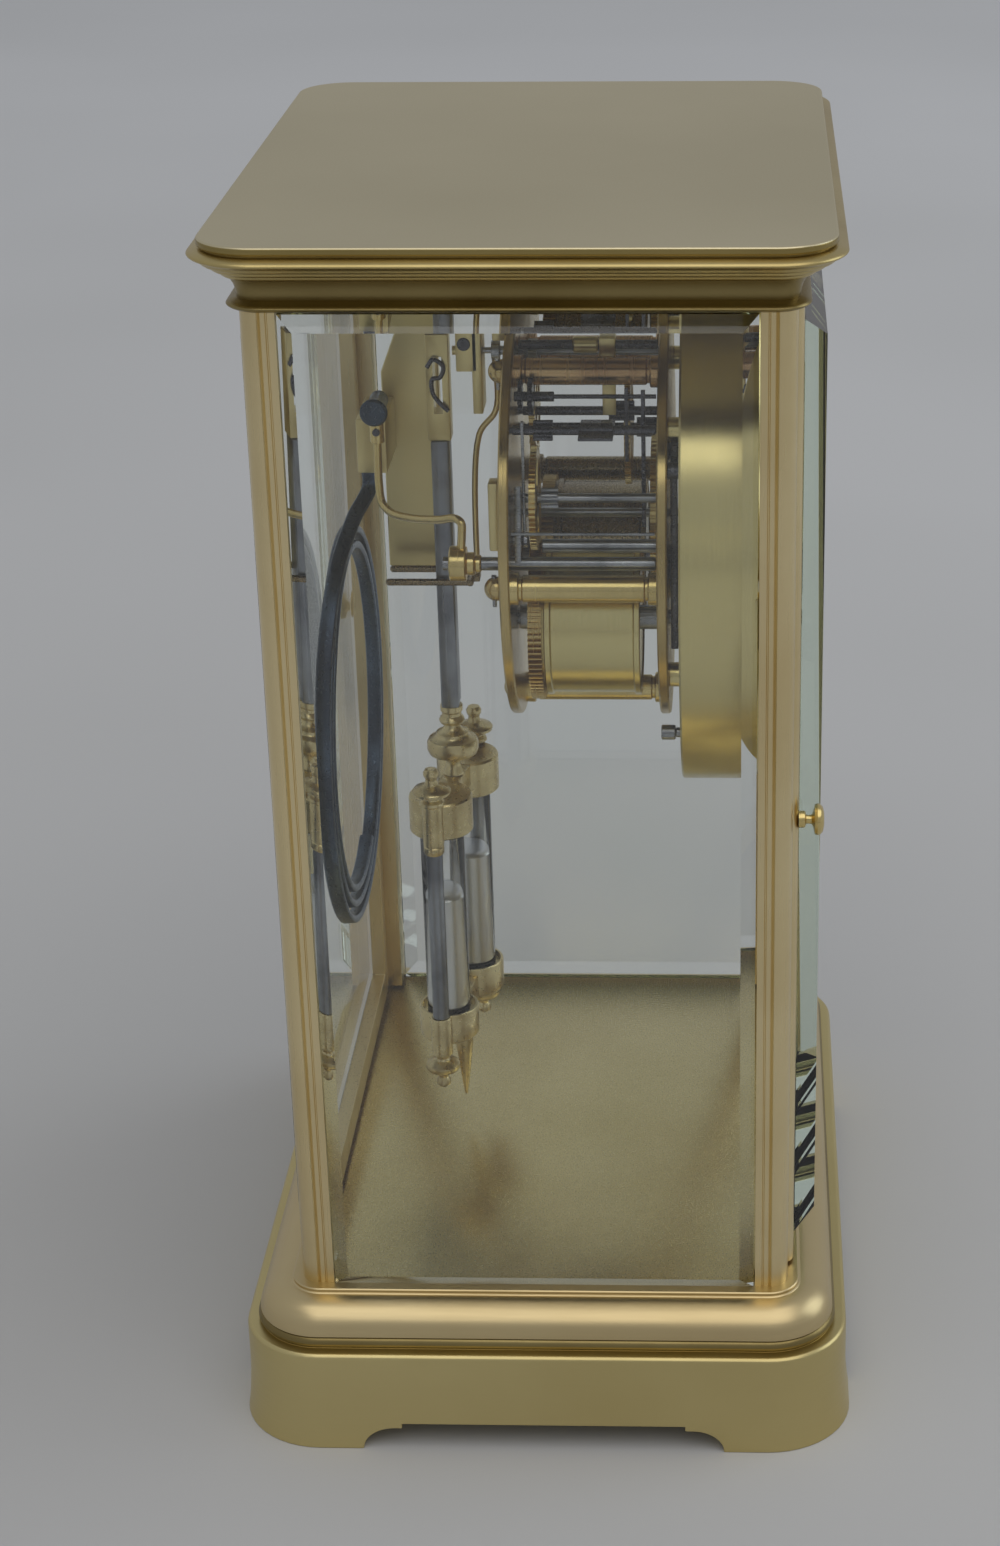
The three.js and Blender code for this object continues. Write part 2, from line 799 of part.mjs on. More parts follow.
// Doors: a frame with round edges on the hinge line, its pane, knob and two hinge pins
function doorFrame() {
  const edge = (doorFront - doorBack) / 2;
  const lineY = -(doorFront + doorBack) / 2;
  const points = [];
  for (const [centre, start] of [[hingeX, -Math.PI / 2], [-hingeX, Math.PI / 2]]) {
    for (let i = 0; i <= 2 * cornerSteps; i += 1) {
      const angle = start + (Math.PI * i) / (2 * cornerSteps);
      points.push([centre + edge * Math.cos(angle), lineY + edge * Math.sin(angle)]);
    }
  }
  const slab = slabZ(shapeOf(points), doorLow, doorTop);
  const outX = hingeX + edge;
  const seatX = outX - stileWidth;
  const sightX = seatX - paneSeat;
  const seatLow = doorLow + railHeight;
  const seatTop = doorTop - railHeight;
  const past = -doorFront - overrun;
  const seat = box(-seatX, seatX, past, -doorPaneBack, seatLow, seatTop);
  const sight = box(-sightX, sightX, past, -doorBack + overrun, seatLow + paneSeat, seatTop - paneSeat);
  const bore = hingePinRadius + runningGap;
  const depth = hingePinLength + runningGap;
  const lowBore = pin('z', hingeX, lineY, 0, bore, doorLow - overrun, doorLow + depth);
  const topBore = pin('z', hingeX, lineY, 0, bore, doorTop - depth, doorTop + overrun);
  return slab.subtract(seat).subtract(sight).subtract(lowBore).subtract(topBore);
}

function doorPane(edge, slope) {
  const half = hingeX + (doorFront - doorBack) / 2 - stileWidth - runningGap;
  const low = doorLow + railHeight + runningGap;
  const top = doorTop - railHeight - runningGap;
  const place = (depth, across, up) => [across, -depth, up];
  const rim = doorPaneBack + edge;
  return bevelledPane(half, low, top, doorPaneBack, rim, rim + slope, doorPaneBevel, place);
}

function doorKnob() {
  const collar = -doorFront - knobCollarLength;
  const neck = collar - knobNeckLength;
  const face = neck - knobHeadLength;
  const profile = [
    [0, face], [knobHeadRadius - knobEdge, face], [knobHeadRadius, face + knobEdge],
    [knobHeadRadius, neck], [knobNeckRadius, neck], [knobNeckRadius, collar],
    [knobCollarRadius, collar], [knobCollarRadius, -doorFront], [0, -doorFront],
  ];
  return turned('y', -hingeX, 0, knobZ, profile, roundSides);
}

function hingePin(from, toDoor, sign) {
  const lineY = -(doorFront + doorBack) / 2;
  const collarEnd = from + hingeCollarShare * (toDoor - from);
  const end = toDoor + sign * hingePinLength;
  const lengths = [[hingeCollarRadius, from, collarEnd], [hingePinRadius, collarEnd, end]];
  return spindle('z', hingeX, lineY, 0, lengths);
}

for (const [side, parent, edge, slope] of [
  ['front', frontDoor, doorPaneEdge, doorPaneSlope],
  ['rear', rearDoor, rearPaneEdge, rearPaneSlope],
]) {
  add(`${side}_door_frame`, doorFrame(), caseBrass, parent);
  add(`${side}_door_glass`, doorPane(edge, slope), plateGlass, parent);
  add(`${side}_door_knob`, doorKnob(), caseBrass, parent);
  add(`${side}_hinge_pin_top`, hingePin(corniceLow, doorTop, -1), caseBrass, parent);
  add(`${side}_hinge_pin_bottom`, hingePin(baseTop, doorLow, 1), caseBrass, parent);
}

// Movement plates, drilled for every arbor, and the pillars between them
const pillars = [
  ['pillar_left', -sidePillarX, sidePillarZ],
  ['pillar_right', sidePillarX, sidePillarZ],
  ['pillar_top_left', -leadPillarX, leadPillarZ],
  ['pillar_top_right', topPillarX, topPillarZ],
  ['pillar_bottom', 0, bottomPillarZ],
];
const wheelPlaces = [[thirdX, thirdZ], [0, escapeZ], [strikeX, strikeZ], [flyX, flyZ]];
const pivotBore = pivotRadius + runningGap;
const pillarBore = pillarStub + fitGap;

function drilledPlate(low, high, bores) {
  let plate = pin('y', 0, 0, movementZ, plateRadius, low, high, wideSides);
  for (const [x, z, radius] of bores) {
    plate = plate.subtract(pin('y', x, 0, z, radius, low - overrun, high + overrun));
  }
  return plate;
}

const sharedBores = wheelPlaces.map(([x, z]) => [x, z, pivotBore]);
const barrelBores = [-barrelX, barrelX].map((x) => [x, barrelZ, barrelPivotRadius + runningGap]);
const frontBores = [
  ...sharedBores, ...barrelBores,
  [0, movementZ, handArbor + runningGap],
  [0, anchorZ, pivotBore],
  [hammerX, hammerZ, pivotBore],
];
const rearBores = [
  ...sharedBores, ...barrelBores,
  [0, movementZ, pivotBore],
  [0, anchorZ, crutchBore],
  [hammerX, hammerZ, hammerArborRadius + runningGap],
  ...pillars.map(([, x, z]) => [x, z, pillarBore]),
];
add('front_plate', drilledPlate(frontPlateFront, frontPlateBack, frontBores), movementBrass);
add('rear_plate', drilledPlate(rearPlateFront, rearPlateBack, rearBores), movementBrass);

for (const [name, x, z] of pillars) {
  const lengths = [
    [pillarRing, frontPlateBack, frontPlateBack + pillarRingLength],
    [pillarRadius, frontPlateBack + pillarRingLength, rearPlateFront - pillarRingLength],
    [pillarRing, rearPlateFront - pillarRingLength, rearPlateFront],
    [pillarStub, rearPlateFront, rearPlateBack + pillarStubLength],
  ];
  add(name, spindle('y', x, 0, z, lengths), movementBrass);
}

// Wheels: a toothed rim, spokes and a hub, on an arbor with fine pivots
function wheel(x, z, radius, teeth, low, high) {
  const points = [];
  const root = radius - toothDepth;
  const toothShares = [[0, root], [0.4, radius], [0.75, radius]];
  for (let i = 0; i < teeth; i += 1) {
    for (const [share, reach] of toothShares) {
      const angle = (2 * Math.PI * (i + share)) / teeth;
      points.push([x + reach * Math.cos(angle), z + reach * Math.sin(angle)]);
    }
  }
  const shape = shapeOf(points);
  const inner = wheelHub;
  const outer = root - wheelRim;
  for (let i = 0; i < spokes; i += 1) {
    const window = [];
    for (const [reach, from, to] of [[outer, 0, 1], [inner, 1, 0]]) {
      const half = Math.asin(spokeWidth / 2 / reach);
      const start = (2 * Math.PI * i) / spokes + half;
      const sweep = (2 * Math.PI) / spokes - 2 * half;
      for (let j = 0; j <= arcSteps; j += 1) {
        const share = from + (to - from) * (j / arcSteps);
        const angle = start + sweep * share;
        window.push(new THREE.Vector2(x + reach * Math.cos(angle), z + reach * Math.sin(angle)));
      }
    }
    shape.holes.push(new THREE.Path(window));
  }
  return slabY(shape, low, high);
}

function arbor(x, z) {
  const front = frontPlateBack + runningGap;
  const back = rearPlateFront - runningGap;
  return spindle('y', x, 0, z, [
    [pivotRadius, frontPlateBack - pivotDepth, front],
    [arborRadius, front, back],
    [pivotRadius, back, rearPlateFront + pivotDepth],
  ]);
}

function centreWheel() {
  const back = rearPlateFront - runningGap;
  const shoulder = minuteFront + handThickness;
  const staff = spindle('y', 0, 0, movementZ, [
    [handStub, handStubFront, shoulder],
    [handArbor, shoulder, back],
    [pivotRadius, back, rearPlateFront + pivotDepth],
  ]);
  return wheel(0, movementZ, centreRadius, centreTeeth, centreFront, centreBack).add(staff);
}

function thirdWheel() {
  const rim = wheel(thirdX, thirdZ, thirdRadius, thirdTeeth, thirdFront, thirdBack);
  const pinion = pin('y', thirdX, 0, thirdZ, thirdPinion, frontPlateBack + runningGap, thirdPinionBack);
  return rim.add(pinion).add(arbor(thirdX, thirdZ));
}

function escapeWheel() {
  const rim = wheel(0, escapeZ, escapeRadius, escapeTeeth, escapeFront, escapeBack);
  const pinion = pin('y', 0, 0, escapeZ, escapePinion, escapePinionFront, escapePinionBack);
  return rim.add(pinion).add(arbor(0, escapeZ));
}

function barrel(x) {
  const lengths = [
    [barrelRim, barrelFront, barrelFront + barrelRimWidth],
    [barrelRadius, barrelFront + barrelRimWidth, barrelBack - barrelRimWidth],
    [barrelRim, barrelBack - barrelRimWidth, barrelBack],
    [barrelArborRadius, barrelBack, rearPlateFront - runningGap],
    [barrelPivotRadius, rearPlateFront - runningGap, rearPlateBack],
  ];
  const drum = spindle('y', x, 0, barrelZ, lengths, drumSides);
  const front = spindle('y', x, 0, barrelZ, [
    [barrelPivotRadius, drumBack, frontPlateBack + runningGap],
    [barrelArborRadius, frontPlateBack + runningGap, barrelFront + runningGap],
  ]);
  const square = pin('y', x, 0, barrelZ, windingSquare, windingFront, drumBack, 4);
  const great = wheel(x, barrelZ, greatRadius, greatTeeth, greatFront, greatBack);
  const boss = pin('y', x, 0, barrelZ, wheelHub, barrelBack - overrun, greatBack);
  return drum.add(front).add(square).add(great).add(boss);
}

function fly() {
  const vane = box(
    flyX - flyReach, flyX + flyReach, flyFront, flyBack, flyZ - flyThickness / 2, flyZ + flyThickness / 2,
  );
  return vane.add(arbor(flyX, flyZ));
}

const strikeWheel = wheel(strikeX, strikeZ, strikeRadius, strikeTeeth, strikeFront, strikeBack);
add('going_barrel', barrel(barrelX), movementBrass);
add('strike_barrel', barrel(-barrelX), movementBrass);
add('centre_wheel', centreWheel(), movementBrass);
add('third_wheel', thirdWheel(), movementBrass);
add('escape_wheel', escapeWheel(), movementBrass);
add('strike_wheel', strikeWheel.add(arbor(strikeX, strikeZ)), movementBrass);
add('fly', fly(), movementBrass);

// Dial drum: a shallow tub with a bezel, bosses for the front plate and lugs to the posts
function dialDrum() {
  const inner = drumRadius - drumWall;
  const floor = drumBack - drumBackThickness;
  const ledge = dialBack + dialLedgeThickness;
  const profile = [
    [drumBore, drumBack], [drumRadius, drumBack], [drumRadius, bezelFront],
    [bezelRadius + bezelSlope, bezelFront], [bezelRadius, bezelBack], [inner, bezelBack],
    [inner, dialBack], [inner - dialLedge, dialBack], [inner - dialLedge, ledge], [inner, ledge],
    [inner, floor], [drumBore, floor], [drumBore, drumBack],
  ];
  let drum = turned('y', 0, 0, movementZ, profile, wideSides);
  for (const sign of [-1, 1]) {
    const span = [sign * lugIn, sign * lugOut].sort((a, b) => a - b);
    const low = movementZ - lugHalfHeight;
    drum = drum.add(box(...span, lugFront, lugFront + lugThickness, low, movementZ + lugHalfHeight));
    const bore = windingSquare + 2 * runningGap;
    drum = drum.subtract(pin('y', sign * barrelX, 0, barrelZ, bore, floor - overrun, drumBack + overrun));
  }
  for (let i = 0; i < 4; i += 1) {
    const angle = (Math.PI / 2) * (i + 0.5);
    const x = drumBossRing * Math.cos(angle);
    const z = movementZ + drumBossRing * Math.sin(angle);
    drum = drum.add(pin('y', x, 0, z, drumBossRadius, floor, frontPlateFront));
  }
  return drum;
}
add('dial_drum', dialDrum(), caseBrass);

function dial() {
  const radius = drumRadius - drumWall - fitGap;
  const front = dialBack - dialThickness;
  let disc = pin('y', 0, 0, movementZ, radius, front, dialBack, wideSides);
  const low = front - overrun;
  const high = dialBack + overrun;
  disc = disc.subtract(pin('y', 0, 0, movementZ, dialBore, low, high));
  for (const x of [-barrelX, barrelX]) {
    disc = disc.subtract(pin('y', x, 0, barrelZ, windingHole, low, high));
  }
  return disc;
}
add('dial', dial(), enamel);

// Hands: a round boss and a tapering pointer, drawn upright and then set to the hour
function hand(length, width, boss, front, bore, angle) {
  const back = front + handThickness;
  const half = width / 2;
  const tip = half * handTipShare;
  const pointer = shapeOf([[-width, 0], [width, 0], [tip, length], [-tip, length]]);
  const flat = pin('y', 0, 0, 0, boss, front, back, roundSides).add(slabY(pointer, front, back));
  const solid = flat.subtract(pin('y', 0, 0, 0, bore, front - overrun, back + overrun));
  return solid.rotate([0, angle, 0]).translate([0, 0, movementZ]);
}

function hourHand() {
  const back = hourFront + handThickness;
  const bore = handArbor + runningGap;
  const pipe = pin('y', 0, 0, movementZ, hourPipe, back, hourPipeBack);
  const hole = pin('y', 0, 0, movementZ, bore, hourFront - overrun, hourPipeBack + overrun);
  return hand(hourLength, hourWidth, hourBoss, hourFront, bore, hourAngle).add(pipe).subtract(hole);
}
add('hour_hand', hourHand(), bluedSteel);
const minuteBore = handStub + fitGap;
const minuteSizes = [minuteLength, minuteWidth, minuteBoss, minuteFront, minuteBore, minuteAngle];
add('minute_hand', hand(...minuteSizes), bluedSteel);

// Anchor on its staff, and the crutch with its fork behind the rear plate
function anchor() {
  const inX = anchorArmX - anchorArmWidth;
  const half = [
    [anchorArmX, anchorArmZ], [anchorNibX, anchorNibZ], [anchorNibX - anchorArmWidth / 2, anchorNibZ],
    [inX, anchorArmZ],
  ];
  const mirrored = half.map(([u, v]) => [-u, v]).reverse();
  const outline = shapeOf([[0, anchorZ + anchorHub], ...half, [0, anchorZ], ...mirrored]);
  const arms = slabY(outline, anchorFront, anchorBack);
  const hub = pin('y', 0, 0, anchorZ, anchorHub, anchorFront, anchorBack);
  const bore = pin('y', 0, 0, anchorZ, arborRadius + fitGap, anchorFront - overrun, anchorBack + overrun);
  return arms.add(hub).subtract(bore);
}
add('anchor', anchor(), steel);

function crutch() {
  const staff = spindle('y', 0, 0, anchorZ, [
    [pivotRadius, frontPlateBack - pivotDepth, frontPlateBack + runningGap],
    [arborRadius, frontPlateBack + runningGap, anchorBack],
    [crutchCollar, anchorBack, crutchCollarBack],
    [arborRadius, crutchCollarBack, crutchHubFront],
    [crutchHubRadius, crutchHubFront, crutchHubBack],
    [pivotRadius, crutchHubBack, crutchArborBack],
  ]);
  const route = [
    [crutchDropY, anchorZ], [crutchDropY, crutchDropZ], [crutchBend, crutchBendZ],
    [crutchEndY, forkZ + forkBar], [crutchEndY, forkZ],
  ].map(([y, z]) => new THREE.Vector3(0, y, z));
  const wire = tube(route, roundSection(crutchWire, stemSides), crutchSteps);
  const bar = pin('x', 0, forkFront - forkBar / 2, forkZ, forkRadius, -forkHalf - forkRadius, forkHalf + forkRadius);
  const web = box(-forkBar, forkBar, crutchEndY - crutchWire, forkFront, forkZ - forkRadius, forkZ + forkRadius);
  let solid = staff.add(wire).add(bar).add(web);
  for (const x of [-forkHalf, forkHalf]) {
    solid = solid.add(pin('y', x, 0, forkZ, forkRadius, forkFront - forkBar / 2, forkBack));
  }
  return solid;
}
add('crutch', crutch(), steel);

// Back cock: a foot on the rear plate, an arm slotted for the spring, a plate for the staff
function backCock() {
  const foot = box(-cockFootHalf, cockFootHalf, rearPlateBack, cockFootBack, cockFootLow, cockFootTop);
  const arm = box(-cockArmHalf, cockArmHalf, rearPlateBack, cockArmBack, cockArmLow, cockArmTop);
  const plate = box(
    -cockPlateHalf, cockPlateHalf, cockPlateFront, cockPlateBack, cockPlateLow, cockArmLow + overrun,
  );
  const block = box(
    -cockPlateHalf, cockPlateHalf, cockPlateBack - overrun, cockBlockBack, cockBlockLow, cockArmLow + overrun,
  );
  const slot = box(
    -cockArmHalf - overrun, cockArmHalf + overrun, cockSlotFront, cockSlotBack, cockArmLow - overrun, cockSlotTop,
  );
  const pinBore = suspensionPin + runningGap;
  const pinHole = pin('y', 0, 0, pivotZ, pinBore, cockBlockBack, cockArmBack + overrun);
  const staffHole = pin('y', 0, 0, anchorZ, pivotBore, cockPlateFront - overrun, cockBlockBack + overrun);
  return foot.add(arm).add(plate).add(block).subtract(slot).subtract(pinHole).subtract(staffHole);
}
add('back_cock', backCock(), movementBrass);

// Pendulum: suspension, clip, rod and nut, drawn about the pendulum's own axis
function suspensionSpring() {
  const strip = box(-springThickness / 2, springThickness / 2, -springWidth / 2, springWidth / 2, clipTop, pivotZ);
  const head = pin('y', 0, 0, pivotZ, suspensionHead, -springWidth / 2, springWidth / 2);
  const cross = pin('y', 0, 0, pivotZ, suspensionPin, -suspensionPinLength / 2, suspensionPinLength / 2);
  return strip.add(head).add(cross);
}
add('suspension_spring', suspensionSpring(), steel, pendulum);

const clip = box(-clipHalfX, clipHalfX, -clipHalfY, clipHalfY, rodTop, clipTop);
const clipSlot = box(
  -clipHalfX - overrun, clipHalfX + overrun, -clipSlotHalf, clipSlotHalf, clipSlotLow, clipSlotTop,
);
add('pendulum_clip', clip.subtract(clipSlot), movementBrass, pendulum);
add('pendulum_rod', box(-rodHalfX, rodHalfX, -rodHalfY, rodHalfY, nutTop, rodTop), steel, pendulum);

const nutProfile = [
  [0, nutLow], [nutEndRadius, nutLow], [nutWaistRadius, (nutLow + nutDiscLow) / 2],
  [nutEndRadius, nutDiscLow], [nutDiscRadius, nutDiscLow], [nutDiscRadius, nutDiscTop],
  [nutEndRadius, nutDiscTop], [nutWaistRadius, (nutDiscTop + nutRingLow) / 2], [nutWaistRadius, nutRingLow],
  [nutRingRadius, nutRingLow], [nutRingRadius, nutCollarLow], [nutCollarRadius, nutCollarLow],
  [nutCollarRadius, nutTop], [0, nutTop],
];
add('vase_nut', turned('z', 0, 0, 0, nutProfile, roundSides), movementBrass, pendulum);

// Bob bars with their cups, collars and finials
function vialHole(x, radius, low, top) {
  return pin('z', x, 0, 0, radius, low, top, roundSides);
}

function bobTopBar() {
  let bar = box(-bobRodX, bobRodX, -barHalfY, barHalfY, topBarLow, nutLow);
  for (const sign of [-1, 1]) {
    bar = bar.add(pin('z', sign * vialX, 0, 0, topCupRadius, topCupLow, nutLow, roundSides));
    bar = bar.add(spindle('z', sign * bobRodX, 0, 0, [
      [bobRodCollar, bobRodCollarLow, finialDiscLow],
      [finialDisc, finialDiscLow, finialDiscTop],
      [finialButton, finialDiscTop, finialTop],
    ], roundSides));
    bar = bar.subtract(vialHole(sign * vialX, vialRadius + fitGap, bobRodCollarLow - overrun, topBarLow));
  }
  return bar;
}
add('bob_top_bar', bobTopBar(), movementBrass, bob);

function bobBottomBar() {
  let bar = box(-bobRodX, bobRodX, -barHalfY, barHalfY, bottomBarLow, bottomBarTop);
  for (const sign of [-1, 1]) {
    const mouth = bottomBarTop + overrun;
    bar = bar.add(pin('z', sign * vialX, 0, 0, bottomCupRadius, bottomBarLow, bottomBarTop, roundSides));
    bar = bar.subtract(vialHole(sign * vialX, bottomCupBore, vialSeat, mouth));
    bar = bar.add(spindle('z', sign * bobRodX, 0, 0, [
      [finialButton, bottomFinialLow, bottomDiscLow],
      [bottomDisc, bottomDiscLow, bottomDiscTop],
      [bottomNeck, bottomDiscTop, bottomBossLow],
      [bobRodCollar, bottomBossLow, bottomBarTop],
    ], roundSides));
    bar = bar.subtract(vialHole(sign * vialX, vialRadius + fitGap, vialSeat, mouth));
  }
  const pointer = [
    [0, pointerTip], [pointerTipRadius, pointerTip], [pointerRadius, pointerNeckZ],
    [pointerRadius, pointerTop], [nutEndRadius, pointerTop], [nutEndRadius, bottomBarLow + overrun],
    [0, bottomBarLow + overrun],
  ];
  return bar.add(turned('z', 0, 0, 0, pointer, roundSides));
}
add('bob_bottom_bar', bobBottomBar(), movementBrass, bob);

// Vials and their mercury, and the rods outside them
function vial(x) {
  const profile = [
    [0, vialSeat], [vialRadius, vialSeat], [vialRadius, vialTop], [vialBore, vialTop],
    [vialBore, vialFloor], [0, vialFloor],
  ];
  return turned('z', x, 0, 0, profile, roundSides);
}

for (const [side, sign] of [['left', -1], ['right', 1]]) {
  const rod = pin('z', sign * bobRodX, 0, 0, bobRodRadius, bottomBarTop, bobRodCollarLow, roundSides);
  add(`bob_rod_${side}`, rod, steel, bob);
  add(`vial_${side}`, vial(sign * vialX), vialGlass, bob);
  const fill = pin('z', sign * vialX, 0, 0, vialBore - fitGap, vialFloor, fillTop, roundSides);
  add(`mercury_${side}`, fill, quicksilver, bob);
}

// Hammer: arbor with its tail and hub, a bent stem and a flared head beside the gong block
function hammerArbor() {
  const staff = spindle('y', hammerX, 0, hammerZ, [
    [pivotRadius, frontPlateBack - pivotDepth, frontPlateBack + runningGap],
    [hammerArborRadius, frontPlateBack + runningGap, hammerNutFront],
    [hammerNutRadius, hammerNutFront, hammerHubFront],
    [hammerHubRadius, hammerHubFront, hammerHubBack],
    [hammerArborRadius, hammerHubBack, hammerArborBack],
  ]);
  const lean = Math.atan2(tailZ - hammerZ, tailX - hammerX);
  const stepX = tailHalf * Math.sin(lean);
  const stepZ = tailHalf * Math.cos(lean);
  const tail = shapeOf([
    [hammerX + stepX, hammerZ - stepZ], [tailX + stepX, tailZ - stepZ],
    [tailX - stepX, tailZ + stepZ], [hammerX - stepX, hammerZ + stepZ],
  ]);
  return staff.add(slabY(tail, tailFront, tailBack));
}
add('hammer_arbor', hammerArbor(), steel);

function hammerStem() {
  const names = ['root', 'rise', 'turn', 'run', 'bend', 'top'];
  const points = names.map((n) => (
    new THREE.Vector3(stemRoute[`${n}X`], stemRoute[`${n}Y`], hammerZ + stemRoute[`${n}Z`])
  ));
  points.push(new THREE.Vector3(stemRoute.topX, stemRoute.topY, headStemLow + overrun));
  const wire = tube(points, roundSection(stemRadius, stemSides), stemSteps);
  const hub = pin('y', hammerX, 0, hammerZ, hammerHubRadius, hammerHubFront - overrun, hammerHubBack + overrun);
  const end = pin('z', stemRoute.topX, stemRoute.topY, 0, headFlare, headStemLow, headZ);
  return wire.subtract(hub).subtract(end);
}
add('hammer_stem', hammerStem(), movementBrass);

function hammerHead() {
  const profile = [
    [0, headBack], [headFlare, headBack], [headRadius, headNeck], [headRadius, headFront], [0, headFront],
  ];
  const body = turned('x', 0, headY, headZ, profile, fineSides);
  return body.add(pin('z', stemRoute.topX, headY, 0, headStemRadius, headStemLow, headZ));
}
add('hammer_head', hammerHead(), bluedSteel);

// Gong: one flat blued wire, wound inwards, led up and into its block
function gongPoints() {
  const points = [];
  const { firstX, firstY, firstZ, secondX, secondY, secondZ, thirdX: x3, thirdY: y3, thirdZ: z3 } = gongLead;
  const { fourthX, fourthY, fourthZ, endX, endY, endZ } = gongLead;
  points.push(new THREE.Vector3(endX, endY, blockLow));
  points.push(new THREE.Vector3(endX, endY, gongZ + endZ));
  points.push(new THREE.Vector3(fourthX, fourthY, gongZ + fourthZ));
  points.push(new THREE.Vector3(x3, y3, gongZ + z3));
  points.push(new THREE.Vector3(secondX, secondY, gongZ + secondZ));
  points.push(new THREE.Vector3(firstX, firstY, gongZ + firstZ));
  const stepAngle = 360 / gongStepsPerTurn;
  for (let degrees = gongStart; degrees <= gongEnd; degrees += stepAngle) {
    const angle = THREE.MathUtils.degToRad(degrees);
    const radius = gongRadius - (gongPitch * (degrees - gongStart)) / 360;
    const x = radius * Math.cos(angle);
    points.push(new THREE.Vector3(x, gongY, gongZ + radius * Math.sin(angle)));
  }
  return points;
}

function gong(points) {
  const side = gongHalfBand - gongEdge;
  const section = shapeOf([
    [-gongHalfBand, 0], [-side, -gongHalfWire], [side, -gongHalfWire],
    [gongHalfBand, 0], [side, gongHalfWire], [-side, gongHalfWire],
  ]);
  const coilSteps = points.length - gongLeadPoints;
  const steps = coilSteps + gongLeadSteps;
  return tube(points, section, steps);
}

// The least gap between the gong's turns, from points along the wire
function leastGap(points) {
  const path = new THREE.CatmullRomCurve3(points, false, 'centripetal');
  const samples = path.getSpacedPoints(points.length * 6);
  const away = Math.PI * gongRadius;
  const spacing = path.getLength() / (samples.length - 1);
  const skip = Math.ceil(away / 2 / spacing);
  let least = Infinity;
  for (let i = 0; i < samples.length; i += 1) {
    for (let j = i + skip; j < samples.length; j += 1) {
      least = Math.min(least, samples[i].distanceTo(samples[j]));
    }
  }
  return least - 2 * gongHalfWire;
}

const gongRoute = gongPoints();
console.log(`gong: least gap between turns ${leastGap(gongRoute).toFixed(2)} mm`);
add('gong', gong(gongRoute), bluedSteel);

add('gong_block', box(blockLeft, blockRight, blockFront, blockBack, blockLow, blockTop), movementBrass);

const bracketOutline = shapeOf([
  [bracketFront, bracketLow], [bracketBack, bracketLow], [bracketBack, bracketShoulder],
  [bracketNeck, bracketNeckZ], [bracketNeck, corniceTop], [bracketFront, corniceTop],
]);
add('gong_bracket', slabX(bracketOutline, blockRight, bracketRight), movementBrass);

export default clock;
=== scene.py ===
"""Looks of a four glass mantel clock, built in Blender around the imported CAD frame.

Every piece is made as stock in millimetres, finished with a procedural material,
and hung on the CAD body that carries it.
"""

import logging
import math
from collections.abc import Iterable, Sequence
from dataclasses import dataclass
from enum import Enum

import bmesh
import bpy
from mathutils import Matrix, Vector


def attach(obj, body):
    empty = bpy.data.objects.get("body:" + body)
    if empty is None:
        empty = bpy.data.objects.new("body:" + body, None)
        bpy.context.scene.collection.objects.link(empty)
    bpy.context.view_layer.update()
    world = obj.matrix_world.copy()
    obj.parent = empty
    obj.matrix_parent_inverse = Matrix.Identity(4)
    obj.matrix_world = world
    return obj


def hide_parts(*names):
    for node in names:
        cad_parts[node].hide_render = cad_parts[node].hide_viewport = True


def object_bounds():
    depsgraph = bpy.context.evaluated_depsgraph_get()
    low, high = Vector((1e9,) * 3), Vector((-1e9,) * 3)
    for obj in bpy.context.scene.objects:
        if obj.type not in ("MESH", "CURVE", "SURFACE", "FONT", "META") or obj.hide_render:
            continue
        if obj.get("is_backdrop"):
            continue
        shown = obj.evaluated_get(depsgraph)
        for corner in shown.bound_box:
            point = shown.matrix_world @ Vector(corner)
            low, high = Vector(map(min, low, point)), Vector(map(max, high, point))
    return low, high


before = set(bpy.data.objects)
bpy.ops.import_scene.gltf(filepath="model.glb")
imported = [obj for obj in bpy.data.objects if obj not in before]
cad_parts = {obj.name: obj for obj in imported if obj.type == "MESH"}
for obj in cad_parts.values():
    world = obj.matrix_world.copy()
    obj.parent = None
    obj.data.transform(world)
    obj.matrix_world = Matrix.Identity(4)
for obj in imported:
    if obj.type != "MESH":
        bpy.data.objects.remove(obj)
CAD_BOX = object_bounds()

LOG = logging.getLogger("clock")

# Stock is made in millimetres; points nearer than WELD are one point
MM = 0.001
WELD = 0.0005

# Depths of fine relief, in metres
MARK_DEPTH = 0.00004
WAVE_DEPTH = 0.0002
PITTING_DEPTH = 0.0001

Pair = tuple[float, float]
Triple = tuple[float, float, float]
Colour = tuple[float, float, float]


class Axis(Enum):
    """The way a form runs: its two cross directions, then the direction along it."""

    X = ((0, 1, 0), (0, 0, 1), (1, 0, 0))
    Y = ((1, 0, 0), (0, 0, 1), (0, 1, 0))
    Z = ((1, 0, 0), (0, 1, 0), (0, 0, 1))

    def place(self, at: Triple = (0, 0, 0)) -> Matrix:
        """Returns the matrix that takes cross, cross and along to the clock's own axes."""
        return Matrix.Translation(at) @ Matrix(self.value).transposed().to_4x4()


class Body(Enum):
    """The CAD bodies that pieces ride on."""

    CASE = "case"
    FRONT_DOOR = "front_door"
    REAR_DOOR = "rear_door"
    MINUTE = "minute_work"
    HOUR = "hour_work"
    THIRD = "third_work"
    ESCAPE = "escape_work"
    GOING = "going_work"
    STRIKE = "strike_work"
    STRIKE_WHEEL = "strike_wheel_work"
    FLY = "fly_work"
    CRUTCH = "crutch_work"
    HAMMER = "hammer"
    PENDULUM = "pendulum"


